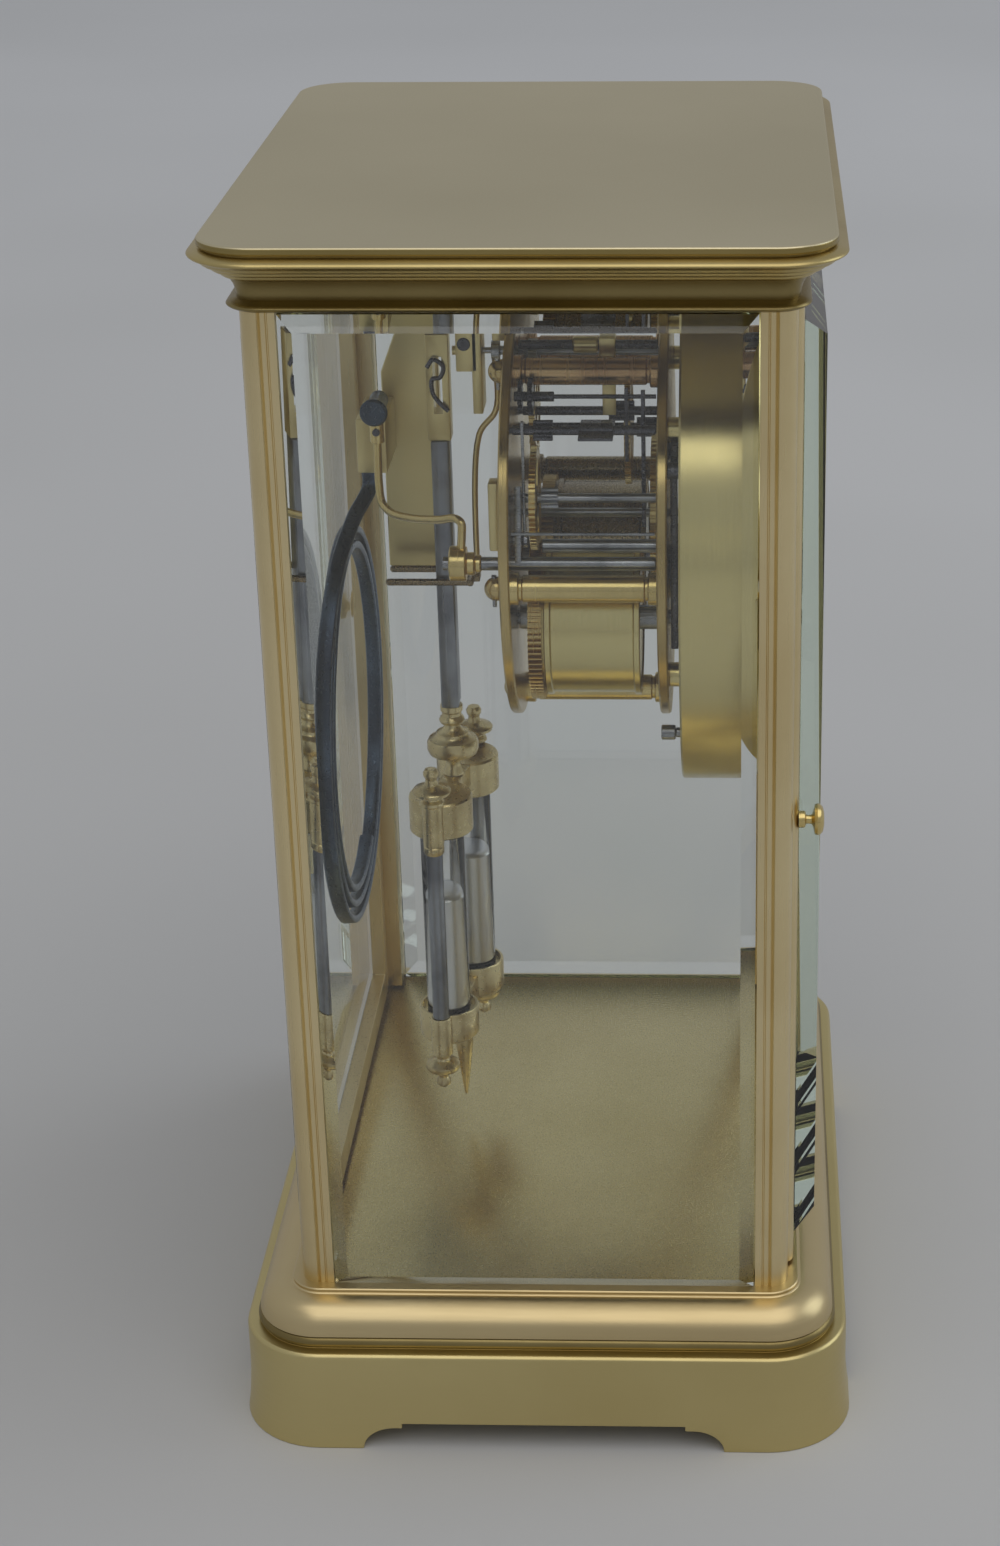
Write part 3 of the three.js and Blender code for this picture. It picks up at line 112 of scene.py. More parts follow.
class Slot(Enum):
    """The record's material slots."""

    CASE_BRASS = "case_brass"
    MOVEMENT_BRASS = "movement_brass"
    PLATE_GLASS = "plate_glass"
    VIAL_GLASS = "vial_glass"
    STEEL = "steel"
    BLUED_STEEL = "blued_steel"
    MERCURY = "mercury"
    ENAMEL = "enamel"


class Grain(Enum):
    """How brush marks run: a small share stretches the marks along that axis."""

    EVEN = (1.0, 1.0, 1.0)
    ALONG_Y = (1.0, 0.02, 1.0)
    ALONG_Z = (1.0, 1.0, 0.02)
    ROUND_Z = (0.02, 0.02, 1.0)
    ROUND_Y = (0.02, 1.0, 0.02)


@dataclass(frozen=True)
class Plan:
    """Places that several sub-assemblies share, in X and Z or along Y, in millimetres."""

    centre: Pair = (0.0, 169.0)
    third: Pair = (12.0, 183.0)
    escape: Pair = (0.0, 190.0)
    strike: Pair = (-24.0, 180.0)
    fly: Pair = (-26.0, 194.0)
    hammer: Pair = (-33.0, 170.0)
    barrel_x: float = 19.0
    barrel_z: float = 154.0
    staff_z: float = 202.2
    front_pivot: float = -23.9
    front_shoulder: float = -22.3
    rear_shoulder: float = 4.6
    rear_pivot: float = 6.2
    rear_face: float = 6.9
    head_y: float = 31.8


PLAN = Plan()


# Outlines


def arc(centre: Pair, radius: float, start: float, end: float, steps: int = 10) -> list[Pair]:
    """Draws a circular arc.

    Args:
        centre: Its middle.
        radius: Its radius.
        start: Where it starts, in degrees.
        end: Where it ends, in degrees.
        steps: How many chords stand for it.

    Returns:
        Its points, both ends among them.
    """
    points = []
    for i in range(steps + 1):
        angle = math.radians(start + (end - start) * i / steps)
        points.append((centre[0] + radius * math.cos(angle), centre[1] + radius * math.sin(angle)))
    return points


def swell(start: Pair, end: Pair, bulge: float, steps: int = 8) -> list[Pair]:
    """Draws a shallow curve.

    Args:
        start: Its first point.
        end: Its last point.
        bulge: How far it swells out, to the left of the way from start to end.
        steps: How many chords stand for it.

    Returns:
        Its points, both ends among them.
    """
    run = Vector(end) - Vector(start)
    side = Vector((-run.y, run.x)).normalized() * bulge
    points = []
    for i in range(steps + 1):
        share = i / steps
        point = Vector(start) + run * share + side * math.sin(math.pi * share)
        points.append((point.x, point.y))
    return points


def spindle(*lengths: Triple, ease: float = 0.15) -> list[Pair]:
    """Draws the profile of a turned piece of plain lengths with eased edges.

    Args:
        lengths: Each length's radius, start and end along the axis.
        ease: How much every edge is broken.

    Returns:
        Points of radius and place along the axis.
    """
    points = [(0.0, lengths[0][1])]
    for radius, start, end in lengths:
        points += [(radius - ease, start), (radius, start + ease)]
        points += [(radius, end - ease), (radius - ease, end)]
    points.append((0.0, lengths[-1][2]))
    return points


def band(inner: float, outer: float, low: float, high: float) -> list[Pair]:
    """Draws the closed profile of a plain ring.

    Args:
        inner: Its bore's radius.
        outer: Its outside radius.
        low: Where it starts along the axis.
        high: Where it ends.

    Returns:
        Points of radius and place along the axis, the first one again at the end.
    """
    return [(inner, low), (outer, low), (outer, high), (inner, high), (inner, low)]


def smooth(route: Sequence[Triple], steps: int = 8) -> list[Vector]:
    """Draws a centripetal Catmull-Rom curve through a route.

    Args:
        route: The points that it passes.
        steps: How many chords stand for each stretch.

    Returns:
        Its points, both ends among them.
    """
    knots = [Vector(p) for p in route]
    knots = [2 * knots[0] - knots[1], *knots, 2 * knots[-1] - knots[-2]]
    points = []
    for p0, p1, p2, p3 in zip(knots, knots[1:], knots[2:], knots[3:]):
        t0 = 0.0
        t1 = t0 + math.sqrt((p1 - p0).length)
        t2 = t1 + math.sqrt((p2 - p1).length)
        t3 = t2 + math.sqrt((p3 - p2).length)
        for i in range(steps):
            t = t1 + (t2 - t1) * i / steps
            a1 = p0.lerp(p1, (t - t0) / (t1 - t0))
            a2 = p1.lerp(p2, (t - t1) / (t2 - t1))
            a3 = p2.lerp(p3, (t - t2) / (t3 - t2))
            b1 = a1.lerp(a2, (t - t0) / (t2 - t0))
            b2 = a2.lerp(a3, (t - t1) / (t3 - t1))
            points.append(b1.lerp(b2, (t - t1) / (t2 - t1)))
    points.append(knots[-2].copy())
    return points


# Stock


@dataclass(frozen=True)
class Core:
    """The block inside the case from which mouldings stand out."""

    half_x: float = 67.0
    half_y: float = 48.0
    corner: float = 3.7


class Stock:
    """A solid in millimetres, put together from forms made by mesh operators."""

    def __init__(self) -> None:
        """Starts with nothing in it."""
        self.form = bmesh.new()

    def take(self, part: bmesh.types.BMesh, place: Matrix = Matrix()) -> "Stock":
        """Moves a finished form into this stock.

        Args:
            part: The form, which is used up.
            place: Where it goes.

        Returns:
            This stock.
        """
        bmesh.ops.remove_doubles(part, verts=part.verts, dist=WELD)
        bmesh.ops.transform(part, matrix=place, verts=part.verts)
        bmesh.ops.recalc_face_normals(part, faces=part.faces)
        carrier = bpy.data.meshes.new("carrier")
        part.to_mesh(carrier)
        part.free()
        self.form.from_mesh(carrier)
        bpy.data.meshes.remove(carrier)
        return self

    def join(self, *others: "Stock") -> "Stock":
        """Adds other stocks as they lie, using them up."""
        for other in others:
            self.take(other.form)
        return self

    def moved(self, place: Matrix) -> "Stock":
        """Moves the whole stock."""
        bmesh.ops.transform(self.form, matrix=place, verts=self.form.verts)
        return self

    def turned(
        self, profile: Sequence[Pair], at: Triple = (0, 0, 0), axis: Axis = Axis.Z, steps: int = 48
    ) -> "Stock":
        """Adds a lathe form.

        Args:
            profile: Radius and place along the axis; it is closed where its ends meet.
            at: A point of the axis.
            axis: The axis direction.
            steps: Faces round it.

        Returns:
            This stock.
        """
        part = bmesh.new()
        closed = profile[0] == profile[-1]
        points = profile[: -1 if closed else None]
        line = [part.verts.new((radius, 0, along)) for radius, along in points]
        edges = [part.edges.new(pair) for pair in zip(line, line[1:])]
        if closed:
            edges.append(part.edges.new((line[-1], line[0])))
        bmesh.ops.spin(
            part, geom=line + edges, cent=(0, 0, 0), axis=(0, 0, 1),
            angle=math.tau, steps=steps, use_merge=True,
        )
        return self.take(part, axis.place(at))

    def block(self, low: Triple, high: Triple, ease: float = 0.15, place: Matrix = Matrix()) -> "Stock":
        """Adds a block.

        Args:
            low: Its lowest corner.
            high: Its highest corner.
            ease: How much its edges are broken.
            place: Where the block goes once it is made.

        Returns:
            This stock.
        """
        part = bmesh.new()
        size = Vector(high) - Vector(low)
        bmesh.ops.create_cube(part, size=1)
        shape = Matrix.Translation(Vector(low) + size / 2) @ Matrix.Diagonal((*size, 1))
        bmesh.ops.transform(part, matrix=shape, verts=part.verts)
        if ease > 0:
            bmesh.ops.bevel(
                part, geom=part.edges[:], offset=ease, segments=2, profile=0.5, affect="EDGES", material=-1
            )
        return self.take(part, place)

    def prism(self, outline: Sequence[Pair], low: float, high: float, axis: Axis = Axis.Z) -> "Stock":
        """Adds an outline drawn out along an axis.

        Args:
            outline: Its points in the two cross directions.
            low: Where it starts along the axis.
            high: Where it ends.
            axis: The axis.

        Returns:
            This stock.
        """
        part = bmesh.new()
        face = part.faces.new([part.verts.new((u, v, low)) for u, v in outline])
        grown = bmesh.ops.extrude_face_region(part, geom=[face])
        top = [v for v in grown["geom"] if isinstance(v, bmesh.types.BMVert)]
        bmesh.ops.translate(part, verts=top, vec=(0, 0, high - low))
        return self.take(part, axis.place())

    def moulding(self, profile: Sequence[Pair], core: Core, steps: int = 12) -> "Stock":
        """Adds a moulding run round the core's rounded rectangle.

        Args:
            profile: How far out and how high; open ends are capped with flat faces.
            core: The rectangle it runs round.
            steps: Faces round each corner.

        Returns:
            This stock.
        """
        part = bmesh.new()
        closed = profile[0] == profile[-1]
        side_x = core.half_x - core.corner
        side_y = core.half_y - core.corner
        points = profile[: -1 if closed else None]
        line = [part.verts.new((core.half_x + out, -side_y, up)) for out, up in points]
        edges = [part.edges.new(pair) for pair in zip(line, line[1:])]
        if closed:
            edges.append(part.edges.new((line[-1], line[0])))
        runs = [(0, 2 * side_y), (-2 * side_x, 0), (0, -2 * side_y), (2 * side_x, 0)]
        corners = [(side_x, side_y), (-side_x, side_y), (-side_x, -side_y), (side_x, -side_y)]
        for (run_x, run_y), (corner_x, corner_y) in zip(runs, corners):
            grown = bmesh.ops.extrude_edge_only(part, edges=edges)["geom"]
            verts = [g for g in grown if isinstance(g, bmesh.types.BMVert)]
            edges = [g for g in grown if isinstance(g, bmesh.types.BMEdge)]
            bmesh.ops.translate(part, verts=verts, vec=(run_x, run_y, 0))
            turned = bmesh.ops.spin(
                part, geom=verts + edges, cent=(corner_x, corner_y, 0), axis=(0, 0, 1),
                angle=math.pi / 2, steps=steps,
            )
            edges = [g for g in turned["geom_last"] if isinstance(g, bmesh.types.BMEdge)]
        bmesh.ops.remove_doubles(part, verts=part.verts, dist=WELD)
        if not closed:
            rims = [e for e in part.edges if e.is_boundary]
            bmesh.ops.holes_fill(part, edges=rims, sides=0)
        return self.take(part)

    def wire(self, points: Sequence[Vector], section: Sequence[Pair]) -> "Stock":
        """Adds a section drawn along a path and kept square to it, without twist.

        Args:
            points: The path.
            section: The section's points in the two cross directions.

        Returns:
            This stock.
        """
        part = bmesh.new()
        path = [Vector(p) for p in points]
        ways = [(b - a).normalized() for a, b in zip(path, path[1:])]
        ways = [ways[0], *[(a + b).normalized() for a, b in zip(ways, ways[1:])], ways[-1]]
        side = Vector((0, 1, 0)) if abs(ways[0].y) < 0.9 else Vector((1, 0, 0))
        side = (side - ways[0] * side.dot(ways[0])).normalized()
        stations = []
        for i, (point, way) in enumerate(zip(path, ways)):
            if i > 0:
                side = ways[i - 1].rotation_difference(way) @ side
                side = (side - way * side.dot(way)).normalized()
            turn = Matrix((side, way.cross(side), way)).transposed().to_4x4()
            stations.append(Matrix.Translation(point) @ turn)
        first = part.faces.new([part.verts.new(stations[0] @ Vector((u, v, 0))) for u, v in section])
        edges = list(first.edges)
        for before, after in zip(stations, stations[1:]):
            grown = bmesh.ops.extrude_edge_only(part, edges=edges)["geom"]
            verts = [g for g in grown if isinstance(g, bmesh.types.BMVert)]
            edges = [g for g in grown if isinstance(g, bmesh.types.BMEdge)]
            bmesh.ops.transform(part, matrix=after @ before.inverted(), verts=verts)
        bmesh.ops.contextual_create(part, geom=edges)
        return self.take(part)

    def rod(self, points: Sequence[Vector], radius: float, sides: int = 14) -> "Stock":
        """Adds a round wire along a path."""
        return self.wire(points, arc((0, 0), radius, 0, 360, sides)[:-1])

    def gear(self, at: Pair, teeth: int, radii: Triple, low: float, high: float) -> "Stock":
        """Adds a toothed ring on a Y axis.

        Args:
            at: The axis in X and Z.
            teeth: How many.
            radii: Tooth tip, tooth root and inside radius.
            low: Front face.
            high: Back face.

        Returns:
            This stock.
        """
        part = bmesh.new()
        tip, root, inner = radii
        flank = root + 0.7 * (tip - root)
        pitch = math.tau / teeth
        corners = [(root, 0.0), (flank, 0.07), (tip, 0.17), (tip, 0.37), (flank, 0.47), (root, 0.54)]
        corners += [(root, 1.0), (inner, 1.0), (inner, 0.0)]
        spots = [(r * math.cos(s * pitch), r * math.sin(s * pitch), low) for r, s in corners]
        face = part.faces.new([part.verts.new(spot) for spot in spots])
        bmesh.ops.spin(
            part, geom=[face, *face.edges, *face.verts], cent=(0, 0, 0), axis=(0, 0, 1),
            angle=math.tau - pitch, steps=teeth - 1, use_duplicate=True,
        )
        bmesh.ops.remove_doubles(part, verts=part.verts, dist=WELD)
        grown = bmesh.ops.extrude_face_region(part, geom=part.faces[:])
        top = [v for v in grown["geom"] if isinstance(v, bmesh.types.BMVert)]
        bmesh.ops.translate(part, verts=top, vec=(0, 0, high - low))
        return self.take(part, Axis.Y.place((at[0], 0, at[1])))

    def wheel(self, at: Pair, teeth: int, radius: float, low: float, high: float) -> "Stock":
        """Adds a crossed-out wheel: toothed rim, five spokes and hub.

        Args:
            at: The axis in X and Z.
            teeth: How many.
            radius: Its radius over the teeth.
            low: Front face.
            high: Back face.

        Returns:
            This stock.
        """
        spokes = 5
        tooth, rim, half_spoke, inset = 0.9, 2.4, 0.65, 0.02
        inner = radius - rim
        self.gear(at, teeth, (radius, radius - tooth, inner), low, high)
        hub = [(0, low), (2.4, low), (2.6, low + 0.2), (2.6, high - 0.2), (2.4, high), (0, high)]
        self.turned(hub, (at[0], 0, at[1]), Axis.Y, 24)
        for i in range(spokes):
            turn = Axis.Y.place((at[0], 0, at[1])) @ Matrix.Rotation(math.tau * i / spokes, 4, "Z")
            end = (inner + 0.4, half_spoke, high - inset)
            self.block((1.5, -half_spoke, low + inset), end, 0.08, turn)
        return self

    def cut(self, tool: "Stock") -> "Stock":
        """Takes another stock's solid away from this one.

        Args:
            tool: The other stock, which is used up.

        Returns:
            This stock.
        """
        made = []
        for stock in (self, tool):
            mesh = bpy.data.meshes.new("cut")
            stock.form.to_mesh(mesh)
            made.append(bpy.data.objects.new("cut", mesh))
            bpy.context.scene.collection.objects.link(made[-1])
        work, knife = made
        step = work.modifiers.new("cut", "BOOLEAN")
        step.object = knife
        step.operation = "DIFFERENCE"
        step.solver = "EXACT"
        graph = bpy.context.evaluated_depsgraph_get()
        result = bpy.data.meshes.new_from_object(work.evaluated_get(graph))
        self.form.clear()
        self.form.from_mesh(result)
        meshes = [result, work.data, knife.data]
        for obj in made:
            bpy.data.objects.remove(obj)
        for mesh in meshes:
            bpy.data.meshes.remove(mesh)
        tool.form.free()
        return self


# Finishes


class Shade:
    """One material's node tree, with short names for the nodes that it uses."""

    def __init__(self, name: str) -> None:
        """Starts a material with its shader and its object coordinates."""
        self.material = bpy.data.materials.new(name)
        self.material.use_nodes = True
        self.tree = self.material.node_tree
        self.shader = self.tree.nodes["Principled BSDF"]
        self.coords = self.tree.nodes.new("ShaderNodeTexCoord").outputs["Object"]

    def link(self, source: bpy.types.NodeSocket, target: bpy.types.NodeSocket) -> None:
        """Joins two sockets."""
        self.tree.links.new(source, target)

    def noise(self, scale: float, stretch: Triple = (1, 1, 1), detail: float = 3.0) -> bpy.types.NodeSocket:
        """Adds a noise over object coordinates.

        Args:
            scale: Marks per metre.
            stretch: Share of the scale along each axis.
            detail: How many finer layers it has.

        Returns:
            Its value, from 0 to 1.
        """
        mapping = self.tree.nodes.new("ShaderNodeMapping")
        mapping.inputs["Scale"].default_value = tuple(scale * s for s in stretch)
        texture = self.tree.nodes.new("ShaderNodeTexNoise")
        texture.inputs["Scale"].default_value = 1.0
        texture.inputs["Detail"].default_value = detail
        self.link(self.coords, mapping.inputs["Vector"])
        self.link(mapping.outputs["Vector"], texture.inputs["Vector"])
        return texture.outputs["Fac"]

    def span(self, value: bpy.types.NodeSocket, low: float, high: float) -> bpy.types.NodeSocket:
        """Stretches the middle of a noise over a span of numbers.

        Args:
            value: The noise.
            low: The least number.
            high: The greatest number.

        Returns:
            The number at each place.
        """
        noise_low, noise_high = 0.3, 0.7
        node = self.tree.nodes.new("ShaderNodeMapRange")
        node.inputs["From Min"].default_value = noise_low
        node.inputs["From Max"].default_value = noise_high
        node.inputs["To Min"].default_value = low
        node.inputs["To Max"].default_value = high
        self.link(value, node.inputs["Value"])
        return node.outputs["Result"]

    def blend(
        self, value: bpy.types.NodeSocket, stops: Iterable[tuple[float, Colour]]
    ) -> bpy.types.NodeSocket:
        """Picks a colour along a ramp.

        Args:
            value: The value that picks it.
            stops: Places along the ramp with their colours, in order.

        Returns:
            The colour.
        """
        node = self.tree.nodes.new("ShaderNodeValToRGB")
        ramp = node.color_ramp
        stops = list(stops)
        while len(ramp.elements) < len(stops):
            ramp.elements.new(0.5)
        for element, (place, colour) in zip(ramp.elements, stops):
            element.position = place
            element.color = (*colour, 1.0)
        self.link(value, node.inputs["Fac"])
        return node.outputs["Color"]

    def bump(self, height: bpy.types.NodeSocket, strength: float, distance: float) -> None:
        """Adds fine relief to the surface.

        Args:
            height: The relief's height, from 0 to 1.
            strength: How strongly it catches light.
            distance: Its full depth, in metres.
        """
        node = self.tree.nodes.new("ShaderNodeBump")
        node.inputs["Strength"].default_value = strength
        node.inputs["Distance"].default_value = distance
        self.link(height, node.inputs["Height"])
        self.link(node.outputs["Normal"], self.shader.inputs["Normal"])


@dataclass(frozen=True)
class Metal:
    """A brushed or polished metal.

    Args:
        name: The material's name.
        slot: The record's slot.
        tone: Its main colour.
        dull: The colour of its darker patches.
        rough: Least and most roughness.
        grain: How the brush marks run.
        marks: Brush marks per metre.
        relief: How strongly the marks catch light.
        patches: Colour patches per metre.
        turn: Where on the patches' noise the dull colour ends and the main one begins.
    """

    name: str
    slot: Slot
    tone: Colour
    dull: Colour
    rough: Pair
    grain: Grain = Grain.EVEN
    marks: float = 2500.0
    relief: float = 0.12
    patches: float = 25.0
    turn: Pair = (0.32, 0.58)

    def build(self) -> bpy.types.Material:
        """Makes the metal.

        Returns:
            Its material.
        """
        shade = Shade(self.name)
        shade.shader.inputs["Metallic"].default_value = 1.0
        marks = shade.noise(self.marks, self.grain.value, detail=4.0)
        patches = shade.noise(self.patches, detail=5.0)
        colour = shade.blend(patches, zip(self.turn, (self.dull, self.tone)))
        shade.link(colour, shade.shader.inputs["Base Color"])
        shade.link(shade.span(marks, *self.rough), shade.shader.inputs["Roughness"])
        shade.bump(marks, self.relief, MARK_DEPTH)
        return shade.material


@dataclass(frozen=True)
class Glass:
    """Clear glass with a slight tint and the faintest waviness.

    Args:
        name: The material's name.
        slot: The record's slot.
        tint: Its surface colour.
        thin: Its surface colour where it is a little clearer.
        wave: How strongly its waviness catches light.
        depth: The colour that its thickness takes on.
        density: How fast its thickness takes it on.
        index: Its refraction index.
    """

    name: str
    slot: Slot
    tint: Colour
    thin: Colour
    wave: float = 0.01
    depth: Colour = (0.79, 0.905, 0.76)
    density: float = 8.0
    index: float = 1.52

    def build(self) -> bpy.types.Material:
        """Makes the glass.

        Returns:
            Its material.
        """
        shade = Shade(self.name)
        body = shade.tree.nodes.new("ShaderNodeVolumeAbsorption")
        body.inputs["Color"].default_value = (*self.depth, 1.0)
        body.inputs["Density"].default_value = self.density
        shade.link(body.outputs["Volume"], shade.tree.nodes["Material Output"].inputs["Volume"])
        shade.shader.inputs["Transmission Weight"].default_value = 1.0
        shade.shader.inputs["IOR"].default_value = self.index
        shade.shader.inputs["Roughness"].default_value = 0.0
        drift = shade.noise(30.0)
        colour = shade.blend(drift, [(0.35, self.thin), (0.65, self.tint)])
        shade.link(colour, shade.shader.inputs["Base Color"])
        shade.bump(shade.noise(14.0), self.wave, WAVE_DEPTH)
        return shade.material


@dataclass(frozen=True)
class Glaze:
    """Glossy or printed white and dark surfaces, such as an enamel dial and its numbers.

    Args:
        name: The material's name.
        slot: The record's slot.
        tone: Its main colour.
        speck: The colour of its specks.
        rough: Least and most roughness.
        relief: How strongly its fine pitting catches light.
    """

    name: str
    slot: Slot
    tone: Colour
    speck: Colour
    rough: Pair = (0.08, 0.14)
    relief: float = 0.05

    def build(self) -> bpy.types.Material:
        """Makes the glaze.

        Returns:
            Its material.
        """
        shade = Shade(self.name)
        specks = shade.noise(900.0, detail=6.0)
        colour = shade.blend(specks, [(0.28, self.speck), (0.42, self.tone)])
        shade.link(colour, shade.shader.inputs["Base Color"])
        shade.link(shade.span(shade.noise(60.0), *self.rough), shade.shader.inputs["Roughness"])
        shade.bump(shade.noise(160.0), self.relief, PITTING_DEPTH)
        return shade.material


Coat = Metal | Glass | Glaze


class Palette:
    """The clock's finishes, each built once when first asked for."""

    TOP = Metal(
        "brass_top", Slot.CASE_BRASS, (0.72, 0.64, 0.43), (0.63, 0.555, 0.36), (0.34, 0.42),
        Grain.EVEN, 2600, 0.05, 6,
    )
    PLAIN = Metal(
        "brass_case", Slot.CASE_BRASS, (0.67, 0.56, 0.27), (0.59, 0.48, 0.215), (0.30, 0.38),
        Grain.ROUND_Z, 3000, 0.03, 12,
    )
    RIM = Metal(
        "brass_rim", Slot.CASE_BRASS, (0.57, 0.455, 0.20), (0.48, 0.37, 0.15), (0.28, 0.36),
        Grain.EVEN, 2600, 0.03,
    )
    # Painted shade: a dark copy of the top sheet's brass for its upright edge faces
    PAINTED_EDGE_SHADE = Metal(
        "brass_painted_edge_shade", Slot.CASE_BRASS, (0.39, 0.30, 0.115), (0.32, 0.24, 0.085), (0.30, 0.38),
        Grain.EVEN, 2600, 0.03,
    )
    # Painted shade: a much darker copy of the case brass, standing in for the shade and dark reflections in
    # the beads and the cornice's cove
    PAINTED_RECESS_SHADE = Metal(
        "brass_painted_recess_shade", Slot.CASE_BRASS, (0.31, 0.24, 0.10), (0.23, 0.17, 0.065), (0.28, 0.38),
        Grain.EVEN, 2600, 0.03,
    )
    CUSHION = Metal(
        "brass_cushion", Slot.CASE_BRASS, (0.69, 0.56, 0.315), (0.61, 0.48, 0.255), (0.30, 0.38),
        Grain.ROUND_Z, 3000, 0.02, 12,
    )
    POST = Metal(
        "brass_post", Slot.CASE_BRASS, (0.80, 0.665, 0.385), (0.72, 0.58, 0.315), (0.26, 0.36),
        Grain.ALONG_Z, 3000, 0.04, 30,
    )
    FLOOR = Metal(
        "brass_floor", Slot.CASE_BRASS, (0.76, 0.64, 0.325), (0.67, 0.55, 0.255), (0.25, 0.33),
        Grain.EVEN, 2400, 0.02, 22,
    )
    DRUM = Metal(
        "brass_turned", Slot.CASE_BRASS, (0.76, 0.655, 0.32), (0.66, 0.55, 0.25), (0.20, 0.27),
        Grain.ROUND_Y, 4200, 0.006, 12,
    )
    PLATE = Metal(
        "brass_plate", Slot.MOVEMENT_BRASS, (0.62, 0.475, 0.205), (0.49, 0.36, 0.145), (0.18, 0.28),
        Grain.ROUND_Y, 3000, 0.02, 60,
    )
    WORK = Metal(
        "brass_work", Slot.MOVEMENT_BRASS, (0.74, 0.59, 0.26), (0.60, 0.46, 0.18), (0.18, 0.28),
        Grain.ROUND_Y, 3000, 0.02, 60,
    )
    FLAT = Metal(
        "brass_flat", Slot.MOVEMENT_BRASS, (0.78, 0.66, 0.33), (0.68, 0.56, 0.26), (0.28, 0.38),
        Grain.EVEN, 2400, 0.04, 40,
    )
    SHADED = Metal(
        "brass_shaded", Slot.MOVEMENT_BRASS, (0.30, 0.235, 0.13), (0.17, 0.125, 0.08), (0.22, 0.34),
        Grain.EVEN, 2000, 0.01, 30,
    )
    AGED = Metal(
        "brass_aged", Slot.MOVEMENT_BRASS, (0.73, 0.61, 0.325), (0.53, 0.415, 0.20), (0.24, 0.38),
        Grain.EVEN, 900, 0.08, 130,
    )
    COPPER = Metal(
        "brass_copper", Slot.MOVEMENT_BRASS, (0.62, 0.42, 0.21), (0.42, 0.25, 0.13), (0.20, 0.30),
        Grain.ROUND_Y, 1200, 0.02, 90,
    )
    STEEL = Metal(
        "steel_drawn", Slot.STEEL, (0.42, 0.43, 0.46), (0.22, 0.23, 0.25), (0.22, 0.36),
        Grain.ALONG_Y, 2600, 0.12, 120,
    )
    ROD = Metal(
        "steel_rod", Slot.STEEL, (0.33, 0.35, 0.39), (0.18, 0.19, 0.22), (0.26, 0.42),
        Grain.ALONG_Z, 2200, 0.18, 90,
    )
    DARK = Metal(
        "steel_dark", Slot.STEEL, (0.12, 0.12, 0.14), (0.05, 0.05, 0.06), (0.22, 0.38),
        Grain.EVEN, 1500, 0.1, 120,
    )
    BLUED = Metal(
        "steel_blued", Slot.BLUED_STEEL, (0.075, 0.105, 0.15), (0.035, 0.045, 0.065), (0.24, 0.40),
        Grain.EVEN, 1800, 0.14, 90,
    )
    MERCURY = Metal(
        "mercury_bright", Slot.MERCURY, (0.88, 0.89, 0.91), (0.80, 0.81, 0.84), (0.30, 0.38),
        Grain.EVEN, 300, 0.03,
    )
    PANE = Glass("glass_plate", Slot.PLATE_GLASS, (0.965, 0.985, 0.975), (0.98, 0.99, 0.985))
    VIAL = Glass("glass_vial", Slot.VIAL_GLASS, (0.97, 0.98, 0.985), (0.985, 0.99, 0.99), 0.02)
    ENAMEL = Glaze("enamel_white", Slot.ENAMEL, (0.84, 0.82, 0.76), (0.62, 0.59, 0.52))
    INK = Glaze("enamel_black", Slot.ENAMEL, (0.012, 0.012, 0.015), (0.03, 0.03, 0.035), (0.2, 0.3))

    def __init__(self) -> None:
        """Starts with no material built."""
        self.made: dict[str, bpy.types.Material] = {}

    def material(self, coat: Coat) -> bpy.types.Material:
        """Looks a finish up, and builds it the first time.

        Args:
            coat: The finish.

        Returns:
            Its material.
        """
        if coat.name not in self.made:
            self.made[coat.name] = coat.build()
        return self.made[coat.name]


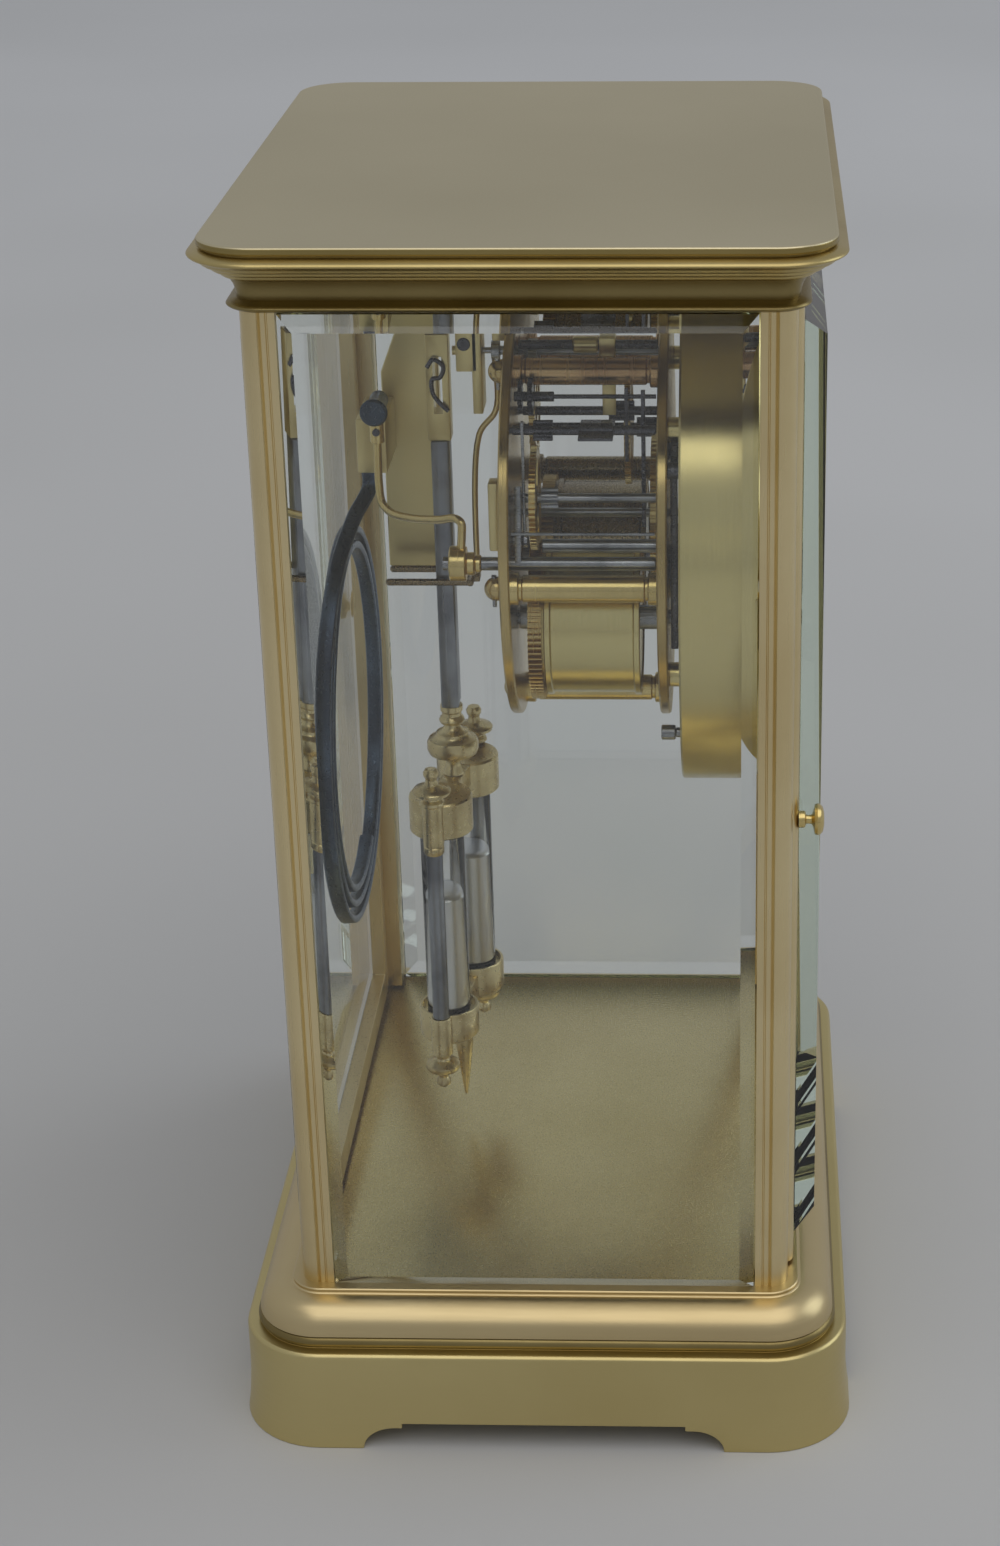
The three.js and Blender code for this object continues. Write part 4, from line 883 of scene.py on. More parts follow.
class Workshop:
    """Finishes stock into named pieces that ride on CAD bodies."""

    def __init__(self, palette: Palette) -> None:
        """Takes the finishes that it uses."""
        self.palette = palette

    def piece(
        self,
        name: str,
        stock: Stock,
        coat: Coat,
        body: Body = Body.CASE,
        stands_for: Sequence[str] = (),
        ease: float = 0.0,
        sharp: float = 32.0,
    ) -> bpy.types.Object:
        """Makes one shown piece.

        Args:
            name: The piece's name.
            stock: Its solid, in millimetres at its real place. It is used up.
            coat: Its finish.
            body: The CAD body that it rides on.
            stands_for: CAD nodes that it replaces.
            ease: Width of a fine bevel on its sharp edges, in millimetres.
            sharp: Edges steeper than this, in degrees, stay sharp.

        Returns:
            The piece's object.
        """
        mesh = bpy.data.meshes.new(name)
        bmesh.ops.scale(stock.form, vec=(MM, MM, MM), verts=stock.form.verts)
        stock.form.to_mesh(mesh)
        stock.form.free()
        mesh.shade_smooth()
        mesh.set_sharp_from_angle(angle=math.radians(sharp))
        mesh.materials.append(self.palette.material(coat))
        obj = bpy.data.objects.new(name, mesh)
        bpy.context.scene.collection.objects.link(obj)
        if ease > 0:
            step = obj.modifiers.new("eased", "BEVEL")
            step.width = ease * MM
            step.segments = 2
            step.limit_method = "ANGLE"
            step.angle_limit = math.radians(sharp)
            step.harden_normals = True
        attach(obj, body.value)
        if stands_for:
            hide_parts(*stands_for)
        LOG.info("%s rides on %s", name, body.value)
        return obj

    def accent(
        self, obj: bpy.types.Object, coat: Coat, low: float, high: float, upright: bool = False
    ) -> None:
        """Paints shade on the faces between two heights, by giving them another, darker finish.

        Args:
            obj: The piece.
            coat: The darker finish that paints the shade.
            low: Lower height, in millimetres.
            high: Upper height.
            upright: Whether only faces that stand upright take it.
        """
        flat_from = 0.6
        obj.data.materials.append(self.palette.material(coat))
        for face in obj.data.polygons:
            flat = abs(face.normal.z) > flat_from
            if low * MM < face.center.z < high * MM and not (upright and flat):
                face.material_index = len(obj.data.materials) - 1

    def dress(self, node: str, coat: Coat) -> None:
        """Gives a CAD node that stays in view its finish.

        Args:
            node: The node's name.
            coat: Its finish.
        """
        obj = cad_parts[node]
        material = self.palette.material(coat)
        if not obj.material_slots:
            obj.data.materials.append(material)
        for holder in obj.material_slots:
            holder.link = "OBJECT"
            holder.material = material


# Case


@dataclass
class Case:
    """Plinth, base, cornice, top, posts and fixed side panes."""

    shop: Workshop
    core: Core = Core()
    plinth_out: float = 12.0
    plinth_top: float = 21.2
    base_top: float = 30.4
    cornice_low: float = 227.2
    top_low: float = 238.1
    height: float = 240.0
    lining: float = -3.2
    floor_half: Pair = (65.3, 46.3)
    floor_low: float = 28.0
    floor_top: float = 30.0
    reed_from: Pair = (2.0, 233.1)
    reed_step: Pair = (1.67, 1.03)
    pane_half: float = 41.4
    pane_top: float = 226.8
    pane_depths: Triple = (64.6, 67.0, 69.1)
    pane_bevel: float = 2.8

    def build(self) -> None:
        """Builds every part of the case."""
        self.plinth()
        self.base()
        self.cornice()
        self.top()
        self.posts()
        self.panes()

    def arch(self, half: float) -> list[Pair]:
        """Draws the gap between two bracket feet.

        Args:
            half: Half the length of that side of the plinth.

        Returns:
            Its outline, from below the floor.
        """
        foot, curve_run, curve_rise, step, below = 24.3, 6.2, 4.4, 1.5, 1.0
        end = half - foot
        right = arc((end - curve_run, 0), curve_run, 0, 90, 12)
        right = [(u, v * curve_rise / curve_run) for u, v in right]
        inner = end - curve_run - step
        right += [(inner, curve_rise), (inner, curve_rise + 1)]
        left = [(-u, v) for u, v in reversed(right)]
        return [(end, -below), *right, *left, (-end, -below)]

    def plinth(self) -> None:
        """Makes the open frame on four bracket feet, flared at the floor."""
        out = self.plinth_out
        flare = [(13, 0), (12.75, 1.5), (12.5, 3.4), (12.27, 6), (12.08, 9), (out, 12)]
        rim = [(out, 19.9), (11.9, 20.7), (11.4, self.plinth_top), (5, self.plinth_top), (5, 0), (13, 0)]
        body = Stock().moulding(flare + rim, self.core)
        body.cut(Stock().prism(self.arch(self.core.half_x + out), -70, 70, Axis.Y))
        body.cut(Stock().prism(self.arch(self.core.half_y + out), -90, 90, Axis.X))
        self.shop.piece("plinth_frame", body, Palette.PLAIN, stands_for=["plinth"], ease=0.25)

    def base(self) -> None:
        """Makes the cushion moulding with its bead and lip, and the brass floor inside the case."""
        low, top, inner = self.plinth_top, self.base_top, self.lining
        out, up = 9.2, 23.7
        bead = [(out, low), *swell((out, 21.3), (out, 23.3), -0.5, 8), (8.9, 23.45)]
        cushion = [(out - 6.4 * (1 - u), up + 5.8 * v) for u, v in arc((0, 0), 1, 0, 90, 15)]
        lip = [(2.7, 29.6), (2.4, 29.7), (2.4, 30.2), (2.2, top)]
        seat = [(-1.5, top), (-1.5, self.floor_low), (inner, self.floor_low), (inner, low), (out, low)]
        moulding = Stock().moulding(bead + cushion + lip + seat, self.core, 16)
        piece = self.shop.piece(
            "base_cushion", moulding, Palette.CUSHION, stands_for=["base_moulding"], sharp=40
        )
        # Painted shade: the bead under the cushion takes the darker copy of the brass
        self.shop.accent(piece, Palette.PAINTED_RECESS_SHADE, 21.3, 23.6)
        half_x, half_y = self.floor_half
        floor = Stock().block((-half_x, -half_y, self.floor_low), (half_x, half_y, self.floor_top), 0.2)
        self.shop.piece("floor_sheet", floor, Palette.FLOOR, stands_for=["floor_plate"])

    def cornice(self) -> None:
        """Makes the cornice: bead, cove, three fine reeds and a half-round edge."""
        low, top, inner = self.cornice_low, self.top_low, self.lining
        bead = swell((0.5, low), (0.5, 229.3), -2.0, 10)
        cove = [(0.6, 229.5), (0.7, 230.6), (1.05, 231.7), (1.6, 232.6), self.reed_from]
        (out, up), (run, rise) = self.reed_from, self.reed_step
        marks = [(out + run * i, up + rise * i) for i in range(4)]
        reeds: list[Pair] = []
        for start, end in zip(marks, marks[1:]):
            reeds += swell(start, end, -0.28, 5)[1:]
        torus = swell((7.0, 236.2), (7.0, top), -1.7, 12)[1:]
        back = [(inner, top), (inner, low), (0.5, low)]
        body = Stock().moulding(bead + cove + reeds + torus + back, self.core, 16)
        piece = self.shop.piece("cornice_run", body, Palette.RIM, stands_for=["cornice"], sharp=34)
        # Painted shade: the cornice's bead and cove take the darker copy of the brass
        self.shop.accent(piece, Palette.PAINTED_RECESS_SHADE, 227.3, up)

    def top(self) -> None:
        """Makes the flat top plate over a narrow quirk; painted shade darkens the quirk and the upright
        faces of its edge.
        """
        low, top = self.top_low, self.height
        edge = [(self.lining, low), (6.0, low), (6.0, 238.45), *arc((6.45, 238.95), 0.5, -90, 0, 4)]
        edge += [*arc((6.45, 239.5), 0.5, 0, 90, 6), (6.1, top), (5.6, top)]
        plate = Stock().moulding(edge, self.core, 16)
        piece = self.shop.piece("top_sheet", plate, Palette.TOP, stands_for=["top_plate"], sharp=50)
        # Painted shade: the upright faces of the quirk and edge take a darker copy of the brass than the top
        self.shop.accent(piece, Palette.PAINTED_EDGE_SHADE, 238.0, 239.9, upright=True)

    def posts(self) -> None:
        """Makes four posts, each with a rounded corner between fine grooves."""
        side = [(59.9, 41.7), (67.0, 41.7), (67.0, 43.0), (66.8, 43.15), (66.8, 43.3), (67.0, 43.45)]
        side += [(67.0, 44.25), (66.65, 44.6)]
        corner = arc((63.4, 44.6), 3.6, 5.6, 84.4, 14)
        front = [(63.4, 47.85), (63.05, 48.2), (61.6, 48.2), (61.45, 48.0), (61.3, 48.0)]
        front += [(61.15, 48.2), (59.9, 48.2)]
        for end, sign_y in (("front", -1), ("rear", 1)):
            for hand, sign_x in (("left", -1), ("right", 1)):
                outline = [(sign_x * u, sign_y * v) for u, v in side + corner + front]
                post = Stock().prism(outline, self.base_top, self.cornice_low)
                self.shop.piece(
                    f"post_bar_{end}_{hand}", post, Palette.POST, stands_for=[f"post_{end}_{hand}"], sharp=24
                )

    def panes(self) -> None:
        """Makes the two fixed side panes."""
        for name, sign in (("left", -1), ("right", 1)):
            glass = pane(self.pane_half, self.base_top, self.pane_top, self.pane_depths, self.pane_bevel)
            turn = Matrix.Rotation(math.radians(-90 * sign), 4, "Z")
            self.shop.piece(
                f"side_pane_{name}", glass.moved(turn.inverted()), Palette.PANE,
                stands_for=[f"side_glass_{name}"], sharp=10,
            )


def pane(half: float, low: float, top: float, depths: Triple, bevel: float) -> Stock:
    """Makes a bevelled pane that faces -Y.

    Args:
        half: Half its width.
        low: Lower edge.
        top: Upper edge.
        depths: How far out its back, rim and face lie.
        bevel: Width of the slope round its face.

    Returns:
        The pane.
    """
    back, rim, face = depths
    part = bmesh.new()
    bmesh.ops.create_cube(part, size=1)
    shape = Matrix.Translation((0, -(back + rim) / 2, (low + top) / 2))
    shape = shape @ Matrix.Diagonal((2 * half, rim - back, top - low, 1))
    bmesh.ops.transform(part, matrix=shape, verts=part.verts)
    front = [f for f in part.faces if f.calc_center_median().y < -rim + WELD]
    bmesh.ops.inset_region(part, faces=front, thickness=bevel, use_even_offset=True)
    bmesh.ops.translate(part, verts=front[0].verts[:], vec=(0, rim - face, 0))
    return Stock().take(part)


@dataclass
class Door:
    """One glazed door: frame, bevelled pane and knob."""

    shop: Workshop
    side: str
    body: Body
    turn: Matrix
    depths: Triple
    hinge_x: float = 57.2
    hinge_y: float = -47.0
    stile_radius: float = 2.4
    low: float = 31.0
    top: float = 226.8
    rebate: Pair = (54.8, 4.0)
    opening: Pair = (52.8, 6.0)
    knob_z: float = 127.5

    def build(self) -> None:
        """Builds the door, drawn for the front and turned round for the back."""
        self.bars()
        self.add("pane", pane(54.5, 35.3, 222.5, self.depths, 3.6), Palette.PANE, "glass", sharp=10)
        self.knob()
        for end in ("top", "bottom"):
            self.shop.dress(f"{self.side}_hinge_pin_{end}", Palette.PLAIN)

    def add(
        self, name: str, stock: Stock, coat: Coat, node: str, ease: float = 0.0, sharp: float = 32.0
    ) -> None:
        """Adds one of the door's pieces.

        Args:
            name: The end of its name.
            stock: Its solid, as it lies on the front door.
            coat: Its finish.
            node: The end of the name of the CAD node that it replaces.
            ease: Width of a fine bevel on its sharp edges.
            sharp: Edges steeper than this, in degrees, stay sharp.
        """
        self.shop.piece(
            f"{self.side}_door_{name}", stock.moved(self.turn), coat, self.body,
            [f"{self.side}_door_{node}"], ease=ease, sharp=sharp,
        )

    def bars(self) -> None:
        """Makes the frame: round stiles, a rebate for the pane, an opening and bores for the pins."""
        hinge = (self.hinge_x, self.hinge_y)
        ends = arc(hinge, self.stile_radius, -90, 90, 12)
        ends += arc((-self.hinge_x, self.hinge_y), self.stile_radius, 90, 270, 12)
        frame_bar = Stock().prism(ends, self.low, self.top)
        for (half, margin), inside in ((self.rebate, -47.6), (self.opening, -43)):
            low, high = self.low + margin, self.top - margin
            frame_bar.cut(Stock().block((-half, -51, low), (half, inside, high), 0))
        bores = Stock()
        for low, high in ((30, 34.4), (223.4, 228)):
            bores.turned(spindle((1.1, low, high), ease=0), (*hinge, 0), Axis.Z, 20)
        self.add("bars", frame_bar.cut(bores), Palette.POST, "frame", ease=0.15)

    def knob(self) -> None:
        """Makes the turned knob opposite the hinge."""
        knob = [(0, -54.2), (1.4, -54.15), (2.4, -53.9), (2.9, -53.4), (3.0, -52.9), (2.8, -52.4)]
        knob += [(1.5, -52.1), (0.9, -51.8), (0.8, -51.2), (0.9, -50.8), (1.5, -50.6), (1.6, -50.3)]
        knob += [(1.6, -49.4), (0, -49.4)]
        stock = Stock().turned(knob, (-self.hinge_x, 0, self.knob_z), Axis.Y, 32)
        self.add("pull", stock, Palette.WORK, "knob")


# Movement


@dataclass
class Movement:
    """Plates, pillars, barrels and trains."""

    shop: Workshop
    plate_radius: float = 40.0
    front: Pair = (-24.6, -22.6)
    rear: Pair = (4.9, PLAN.rear_face)
    pivot_bore: float = 0.9
    barrel_bore: float = 1.8
    pillar_bore: float = 1.7

    def build(self) -> None:
        """Builds the movement."""
        self.plates()
        self.pillars()
        self.barrels()
        self.trains()

    def bored(self, faces: Pair, bores: Sequence[Triple]) -> Stock:
        """Makes a round plate with bores.

        Args:
            faces: Its front and back along Y.
            bores: Each bore's X, Z and radius.

        Returns:
            The plate.
        """
        low, high = faces
        ease, overrun = 0.3, 1
        edge = self.plate_radius - ease
        rim = [(0, low), (edge, low), (self.plate_radius, low + ease)]
        rim += [(self.plate_radius, high - ease), (edge, high), (0, high)]
        plate = Stock().turned(rim, (0, 0, PLAN.centre[1]), Axis.Y, 128)
        holes = Stock()
        for x, z, radius in bores:
            bore = spindle((radius, low - overrun, high + overrun), ease=0)
            holes.turned(bore, (x, 0, z), Axis.Y, 24)
        return plate.cut(holes)

    def plates(self) -> None:
        """Makes the two plates, bored for every arbor, and the rear one for the pillars."""
        staff = (0.0, PLAN.staff_z)
        shared = [(*at, self.pivot_bore) for at in (PLAN.third, PLAN.escape, PLAN.strike, PLAN.fly)]
        shared += [(x, PLAN.barrel_z, self.barrel_bore) for x in (PLAN.barrel_x, -PLAN.barrel_x)]
        front = [*shared, (*PLAN.centre, 1.2), (*staff, self.pivot_bore), (*PLAN.hammer, self.pivot_bore)]
        rear = [*shared, (*PLAN.centre, self.pivot_bore), (*staff, 3.0), (*PLAN.hammer, 1.6)]
        rear += [(*at, self.pillar_bore) for at in self.pillar_places().values()]
        for name, faces, bores in (("front", self.front, front), ("rear", self.rear, rear)):
            plate = self.bored(faces, bores)
            self.shop.piece(f"{name}_disc", plate, Palette.PLATE, stands_for=[f"{name}_plate"])

    def pillar_places(self) -> dict[str, Pair]:
        """Returns each pillar's place in X and Z."""
        return {
            "left": (-36.6, 166.3), "right": (36.6, 166.3), "top_left": (-14, 202),
            "top_right": (25.5, 195.5), "bottom": (0, 131.5),
        }

    def pillars(self) -> None:
        """Makes turned pillars with rings, each with a domed nut and a taper pin behind the rear plate."""
        profile = [(0, -22.6), (3.1, -22.6), (3.1, -21.2), (2.9, -21.0), (2.3, -20.9), (2.3, -20.5)]
        profile += [(2.6, -20.2), (2.6, 2.5), (2.3, 2.8), (2.3, 3.2), (2.9, 3.3), (3.1, 3.5), (3.1, 4.9)]
        profile += [(1.5, 4.9), (1.5, 8.9), (1.3, 9.2), (0.7, 9.3), (0, 9.3)]
        dome = [(0, PLAN.rear_face), (2.2, PLAN.rear_face), (2.3, 7.2), *arc((0, 7.6), 2.3, 0, 90, 8)]
        coats = {"top_left": Palette.COPPER, "top_right": Palette.COPPER, "right": Palette.SHADED}
        for name, (x, z) in self.pillar_places().items():
            coat = coats.get(name, Palette.WORK)
            body = Stock().turned(profile, (x, 0, z), Axis.Y, 32)
            self.shop.piece(f"pillar_{name}_turned", body, coat, stands_for=[f"pillar_{name}"])
            nut = Stock().turned(dome, (x, 0, z), Axis.Y, 28)
            self.shop.piece(f"pillar_nut_{name}", nut, Palette.PLATE)
            taper = [(0, z - 3.6), (0.4, z - 3.6), (0.5, z + 2.6), (0, z + 2.6)]
            pin = Stock().turned(taper, (x, 8.0, 0), Axis.Z, 12)
            self.shop.piece(f"taper_pin_{name}", pin, Palette.STEEL)

    def barrels(self) -> None:
        """Makes the spring barrels with their great wheels, arbors and winding squares."""
        drum = [(2.4, -18.9), (13.9, -18.9), (14.0, -19.2), (14.9, -19.2), (15.1, -19.0), (15.1, -18.1)]
        drum += [(14.9, -17.9), (14.6, -17.8), (14.6, -2.2), (14.9, -2.1), (15.1, -1.9), (15.1, -1.0)]
        drum += [(14.9, -0.8), (2.4, -0.8), (2.4, -18.9)]
        front, rear = PLAN.front_shoulder, PLAN.rear_shoulder
        core = spindle((1.5, -27, front), (2.4, front, rear), (1.5, rear, PLAN.rear_face))
        half = 1.55
        for name, x, body, coat in (
            ("going", PLAN.barrel_x, Body.GOING, Palette.SHADED),
            ("strike", -PLAN.barrel_x, Body.STRIKE, Palette.DRUM),
        ):
            at = (x, 0, PLAN.barrel_z)
            great = Stock().gear((x, PLAN.barrel_z), 84, (16.0, 14.9, 12.2), -0.4, 2.2)
            self.shop.piece(f"{name}_great_wheel", great, Palette.PLATE, body, sharp=30)
            stock = Stock().turned(drum, at, Axis.Y, 96)
            stock.turned(band(2.4, 12.6, -0.8, 1.6), at, Axis.Y, 64)
            self.shop.piece(f"{name}_drum", stock, coat, body, [f"{name}_barrel"], sharp=30)
            square = Stock().turned(core, at, Axis.Y, 24)
            square.block((-half, -half, -38), (half, half, -26.8), 0.2, Axis.Y.place(at))
            self.shop.piece(f"{name}_arbor", square, Palette.STEEL, body)

    def arbor(self, at: Pair, pinion: Pair) -> Stock:
        """Makes a steel arbor with pivots and a leaf pinion.

        Args:
            at: Its place in X and Z.
            pinion: Where the pinion starts and ends along Y.

        Returns:
            The arbor.
        """
        front, rear = PLAN.front_shoulder, PLAN.rear_shoulder
        lengths = [(0.6, PLAN.front_pivot, front), (0.9, front, rear), (0.6, rear, PLAN.rear_pivot)]
        stock = Stock().turned(spindle(*lengths, ease=0.1), (at[0], 0, at[1]), Axis.Y, 16)
        return stock.gear(at, 8, (2.0, 1.2, 0.6), *pinion)

    def trains(self) -> None:
        """Makes the brass wheels on steel arbors, and the fly."""
        rear = PLAN.rear_shoulder
        staff = spindle((0.5, -43, -41.5), (0.9, -41.5, rear), (0.6, rear, PLAN.rear_pivot), ease=0.1)
        for name, at, teeth, radius, faces, body, pinion, coat in (
            ("centre", PLAN.centre, 64, 16.0, (-21.9, -20.7), Body.MINUTE, None, Palette.STEEL),
            ("third", PLAN.third, 56, 11.4, (-16.4, -15.2), Body.THIRD, (-22.0, -17.4), Palette.DARK),
            ("escape", PLAN.escape, 30, 9.0, (1.6, 2.8), Body.ESCAPE, (-17.4, -12.4), Palette.DARK),
            ("strike", PLAN.strike, 56, 10.0, (0.2, 1.4), Body.STRIKE_WHEEL, (-3.6, -0.4), Palette.STEEL),
        ):
            wheel = Stock().wheel(at, teeth, radius, *faces)
            self.shop.piece(f"{name}_wheel_brass", wheel, Palette.WORK, body, [f"{name}_wheel"], sharp=30)
            if pinion:
                shaft = self.arbor(at, pinion)
            else:
                shaft = Stock().turned(staff, (at[0], 0, at[1]), Axis.Y, 16)
            self.shop.piece(f"{name}_arbor_steel", shaft, coat, body)
        vane = Stock().block((-32, -14.5, 193.7), (-20, -8, 194.3), 0.1)
        vane.turned(spindle((1.5, -14.3, -8.2)), (PLAN.fly[0], 0, PLAN.fly[1]), Axis.Y, 16)
        self.shop.piece("fly_vane", vane, Palette.DARK, Body.FLY, ["fly"])
        self.shop.piece("fly_arbor_steel", self.arbor(PLAN.fly, (-3.0, 0.6)), Palette.DARK, Body.FLY)


# Dial


@dataclass
class Face:
    """Drum, bezel, enamel dial with its numbers, and the hands."""

    shop: Workshop
    at: Triple = (0.0, 0.0, PLAN.centre[1])
    back_y: float = -38.4
    print_y: Pair = (-39.58, -39.64)
    track: Pair = (41.2, 43.6)
    line: float = 0.2
    number_radius: float = 34.5
    number_size: float = 10.5
    number_narrowing: float = 0.62

    def build(self) -> None:
        """Builds the dial side."""
        self.drum()
        self.dial()
        self.hands()

    def drum(self) -> None:
        """Makes the turned drum with its bezel, bosses and lugs."""
        profile = [(4, -27), (52.4, -27), (52.8, -27.4), (52.8, -41.6), (52.5, -42.1), (51.9, -42.2)]
        profile += [(48.9, -42.2), *swell((48.3, -42.1), (46.5, -39.9), 0.35, 6), (46.5, -39.8)]
        profile += [(51.2, -39.8), (51.2, self.back_y), (49.2, self.back_y), (49.2, -37.0)]
        profile += [(51.2, -37.0), (51.2, -28.4), (4, -28.4), (4, -27)]
        drum = Stock().turned(profile, self.at, Axis.Y, 192)
        for x in (-PLAN.barrel_x, PLAN.barrel_x):
            bore = spindle((2.8, -30, -26), ease=0)
            drum.cut(Stock().turned(bore, (x, 0, PLAN.barrel_z), Axis.Y, 24))
        for x, z in arc(PLAN.centre, 35, 45, 315, 3):
            drum.turned(spindle((2.4, -28, -24.6)), (x, 0, z), Axis.Y, 24)
        for sign in (-1, 1):
            low, high = sorted((sign * 50.5, sign * 64))
            drum.block((low, -41.7, 164), (high, -39.9, 174), 0.3)
        self.shop.piece("drum_turned", drum, Palette.DRUM, stands_for=["dial_drum"], sharp=28)

    def dial(self) -> None:
        """Makes the white dial with its numbers, minute track and winding-hole collets."""
        back = self.back_y
        disc = [(2.6, back), (51, back), (51, -39.3), (50.7, -39.6), (2.9, -39.6), (2.6, -39.4), (2.6, back)]
        collet = [(2.1, -38.5), (2.55, -38.5), (2.55, -39.6), (3.2, -39.6), (3.2, -39.75), (2.4, -39.9)]
        collet += [(2.1, -39.7), (2.1, -38.5)]
        plate = Stock().turned(disc, self.at, Axis.Y, 128)
        for name, x in (("left", -PLAN.barrel_x), ("right", PLAN.barrel_x)):
            hole = (x, 0, PLAN.barrel_z)
            plate.cut(Stock().turned(spindle((2.6, -41, -37), ease=0), hole, Axis.Y, 32))
            self.shop.piece(f"dial_collet_{name}", Stock().turned(collet, hole, Axis.Y, 32), Palette.WORK)
        self.shop.piece("dial_enamel", plate, Palette.ENAMEL, stands_for=["dial"])
        low, high = self.print_y
        ink = Stock()
        for radius in self.track:
            ink.turned(band(radius, radius + self.line, low, high), self.at, Axis.Y, 128)
        for i in range(60):
            turn = Axis.Y.place(self.at) @ Matrix.Rotation(math.tau * i / 60, 4, "Z")
            half = 0.28 if i % 5 == 0 else 0.1
            ink.block((self.track[0], -half, high), (43.7, half, low), 0, turn)
        self.numbers(ink)
        self.shop.piece("dial_print", ink, Palette.INK)

    def numbers(self, ink: Stock) -> None:
        """Adds the twelve hour numbers, upright along the radius.

        Args:
            ink: The stock that takes them.
        """
        hours = ["I", "II", "III", "IIII", "V", "VI", "VII", "VIII", "IX", "X", "XI", "XII"]
        half_depth, tracking, middle_y = 0.03, 0.9, -39.61
        for i, text in enumerate(hours, start=1):
            curve = bpy.data.curves.new("number", "FONT")
            curve.body = text
            curve.size = self.number_size
            curve.align_x = "CENTER"
            curve.align_y = "CENTER"
            curve.extrude = half_depth
            curve.space_character = tracking
            holder = bpy.data.objects.new("number", curve)
            bpy.context.scene.collection.objects.link(holder)
            graph = bpy.context.evaluated_depsgraph_get()
            mesh = bpy.data.meshes.new_from_object(holder.evaluated_get(graph))
            part = bmesh.new()
            part.from_mesh(mesh)
            bpy.data.objects.remove(holder)
            bpy.data.curves.remove(curve)
            bpy.data.meshes.remove(mesh)
            upright = Matrix.Rotation(math.pi / 2, 4, "X")
            out = Matrix.Translation((0, 0, self.number_radius))
            turn = Matrix.Rotation(math.tau * i / 12, 4, "Y")
            place = Matrix.Translation((0, middle_y, self.at[2])) @ turn @ out @ upright
            ink.take(part, place @ Matrix.Diagonal((self.number_narrowing, 1, 1, 1)))

    def hands(self) -> None:
        """Makes the blued hour and minute hands, each set to its hour."""
        for name, angle, back, length, eye, boss, bore, body in (
            ("hour", -55, -40.3, 25.0, 17.5, 3.4, 1.2, Body.HOUR),
            ("minute", 60, -41.5, 38.0, 28.0, 2.4, 0.7, Body.MINUTE),
        ):
            front = back - 0.6
            stock = Stock()
            disc = [(bore, back), (boss, back), (boss, front + 0.15), (boss - 0.15, front)]
            stock.turned([*disc, (bore, front), (bore, back)], (0, 0, 0), Axis.Y, 40)
            bar = [(-0.75, boss - 0.4), (0.75, boss - 0.4), (0.55, eye - 2.2), (-0.55, eye - 2.2)]
            stock.prism(bar, front, back, Axis.Y)
            stock.turned(band(1.3, 2.6, back, front), (0, 0, eye), Axis.Y, 40)
            tip = [(-0.7, eye + 2.3), (0.7, eye + 2.3), (0.12, length), (-0.12, length)]
            stock.prism(tip, front, back, Axis.Y)
            if body is Body.HOUR:
                stock.turned(band(bore, 2.0, back, -35), (0, 0, 0), Axis.Y, 32)
            place = Matrix.Translation((0, 0, self.at[2])) @ Matrix.Rotation(math.radians(angle), 4, "Y")
            self.shop.piece(f"{name}_hand_cut", stock.moved(place), Palette.BLUED, body, [f"{name}_hand"])


# Escapement and pendulum


